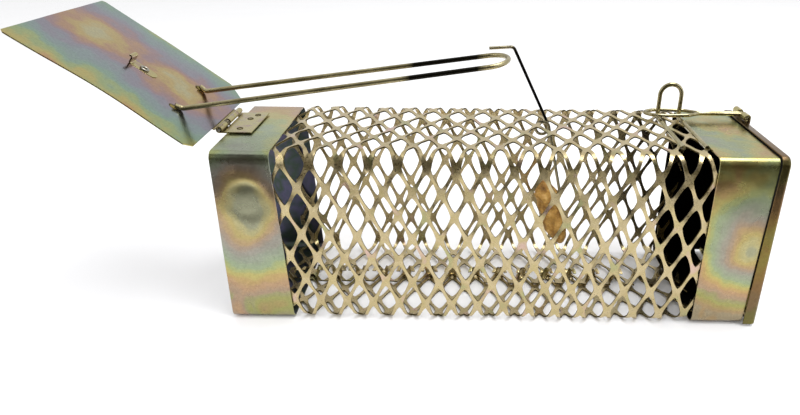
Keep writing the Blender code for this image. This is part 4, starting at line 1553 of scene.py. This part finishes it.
    def build_staple(self, finishes: Finishes) -> None:
        """Bend the staple and lay its legs on the mesh."""
        low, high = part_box("staple")
        wire = self.staple_wire
        half = self.staple_spread / 2
        middle = (low.x + high.x) / 2
        rise = 1.0 * MM
        lie, stand = low.z + wire / 2 + rise, high.y - wire / 2
        top = high.z - wire / 2 - half + rise
        leg = [Vector((-half, low.y, lie)), Vector((-half, stand, lie)), Vector((-half, stand, top))]
        leg = rounded(leg, 3 * MM)
        bow = [Vector((half * cos(angle), stand, top + half * sin(angle)))
               for angle in (pi * (1 - step / 28) for step in range(1, 28))]
        points = leg + bow + [Vector((-point.x, point.y, point.z)) for point in reversed(leg)]
        item = rod("staple_wire_form", [point + Vector((middle, 0, 0)) for point in points], wire)
        dress(item, finishes.wire)
        settle(item, Body.CAGE, Slot.WIRE, "staple")


@dataclass
class Studio:
    """A pale glossy floor, soft light from above, and the camera."""

    camera_place: tuple[float, float, float] = (0.0983, -0.3217, 0.1852)
    camera_turn: tuple[float, float, float] = (radians(63.67), radians(-0.67), radians(0.375))
    lens_mm: float = 30.88
    shift: tuple[float, float] = (-0.0772, 0.0378)

    def build(self) -> None:
        """Set the stage."""
        self.build_floor()
        self.build_flag()
        self.build_lights()
        self.build_camera()

    def build_floor(self) -> None:
        """Lay the floor: white laminated board with a faint gloss."""
        bpy.ops.object.select_all(action="DESELECT")
        bpy.ops.mesh.primitive_plane_add(size=8, location=(0.1, 1.2, -0.0005))
        item = adopt("studio_floor")
        material, shader = new_material("white_laminate", 0.0, 0.1)
        shader.inputs["Base Color"].default_value = linear("#F1F1F3")
        place = add_node(material, "ShaderNodeTexCoord").outputs["Object"]
        haze = add_node(material, "ShaderNodeTexNoise", {"Vector": place, "Scale": 9.0, "Detail": 3.0})
        rough = add_node(material, "ShaderNodeMapRange",
                         {"Value": haze.outputs[0], "To Min": 0.14, "To Max": 0.24})
        material.node_tree.links.new(rough.outputs[0], shader.inputs["Roughness"])
        dress(item, material)

    def build_flag(self) -> None:
        """Stand a black card in front, seen only in reflections, so that folds show a dark band."""
        bpy.ops.object.select_all(action="DESELECT")
        bpy.ops.mesh.primitive_plane_add(size=1, location=(0.1, -0.19, 0.118), rotation=(pi / 2, 0, 0),
                                         scale=(1.2, 0.104, 1))
        item = adopt("studio_flag")
        material, shader = new_material("black_card", 0.0, 0.9)
        shader.inputs["Base Color"].default_value = linear("#474336")
        dress(item, material)
        item.visible_camera = False
        item.visible_diffuse = False
        item.visible_shadow = False
        item.visible_transmission = False

    def build_lights(self) -> None:
        """Hang the softboxes and light the room."""
        for name, place, size, power, aim in (
                ("softbox_top", (0.5, -0.05, 1.3), (1.4, 0.5), 14.0, (0.3, 0.0, 0.0)),
                ("softbox_left", (-1.0, -0.7, 0.7), (0.6, 0.6), 6.0, (0.1, 0.0, 0.05)),
                ("softbox_right", (1.2, -0.7, 0.6), (0.5, 0.6), 5.0, (0.1, 0.0, 0.05))):
            data = bpy.data.lights.new(name, "AREA")
            data.shape = "RECTANGLE"
            data.size, data.size_y = size
            data.energy = power
            lamp = bpy.data.objects.new(name, data)
            lamp.location = place
            lamp.rotation_euler = (Vector(aim) - Vector(place)).to_track_quat("-Z", "Y").to_euler()
            bpy.context.scene.collection.objects.link(lamp)
        world = bpy.data.worlds.new("studio")
        world.use_nodes = True
        world.node_tree.nodes["Background"].inputs["Color"].default_value = linear("#FFFFFF")
        world.node_tree.nodes["Background"].inputs["Strength"].default_value = 0.88
        bpy.context.scene.world = world
        bpy.context.scene.view_settings.view_transform = "Standard"

    def build_camera(self) -> None:
        """Stand the camera above the near side, looking down at the cage."""
        data = bpy.data.cameras.new("camera")
        data.lens = self.lens_mm
        data.sensor_width = 36.0
        data.shift_x, data.shift_y = self.shift
        camera = bpy.data.objects.new("camera", data)
        camera.location = self.camera_place
        camera.rotation_euler = self.camera_turn
        bpy.context.scene.collection.objects.link(camera)
        bpy.context.scene.camera = camera


def main() -> None:
    """Build the trap's sub-assemblies in order."""
    logging.basicConfig(level=logging.INFO, format="%(name)s: %(message)s")
    Studio().build()
    finishes = Finishes()
    front = PlatedSheet(
        "passivated_zinc_front_collar",
        wells=(Well((0.6, -39, 58), (28, 90, 36), -0.22),), film=(0.95, 1.3), patch=18.0, tint="#F4EFD8")
    rear = PlatedSheet(
        "passivated_zinc_rear_collar",
        wells=(Well((232, -39, 39), (27, 90, 30), -0.06),), film=(0.95, 1.3), patch=20.0, tint="#EFE8CC",
        slant=(0.0, 0.0, -0.009))
    MeshTube().build(finishes)
    Collar("front_collar", front, dimple=(0.6 * MM, 60.7 * MM), skew=4.0 * MM).build(finishes)
    Collar("rear_collar", rear, skew=-2.0 * MM).build(finishes)
    FrontDoor().build(finishes)
    FrontHinge().build(finishes)
    Trigger().build(finishes)
    RearDoor().build(finishes)


if __name__ == "__main__":
    main()
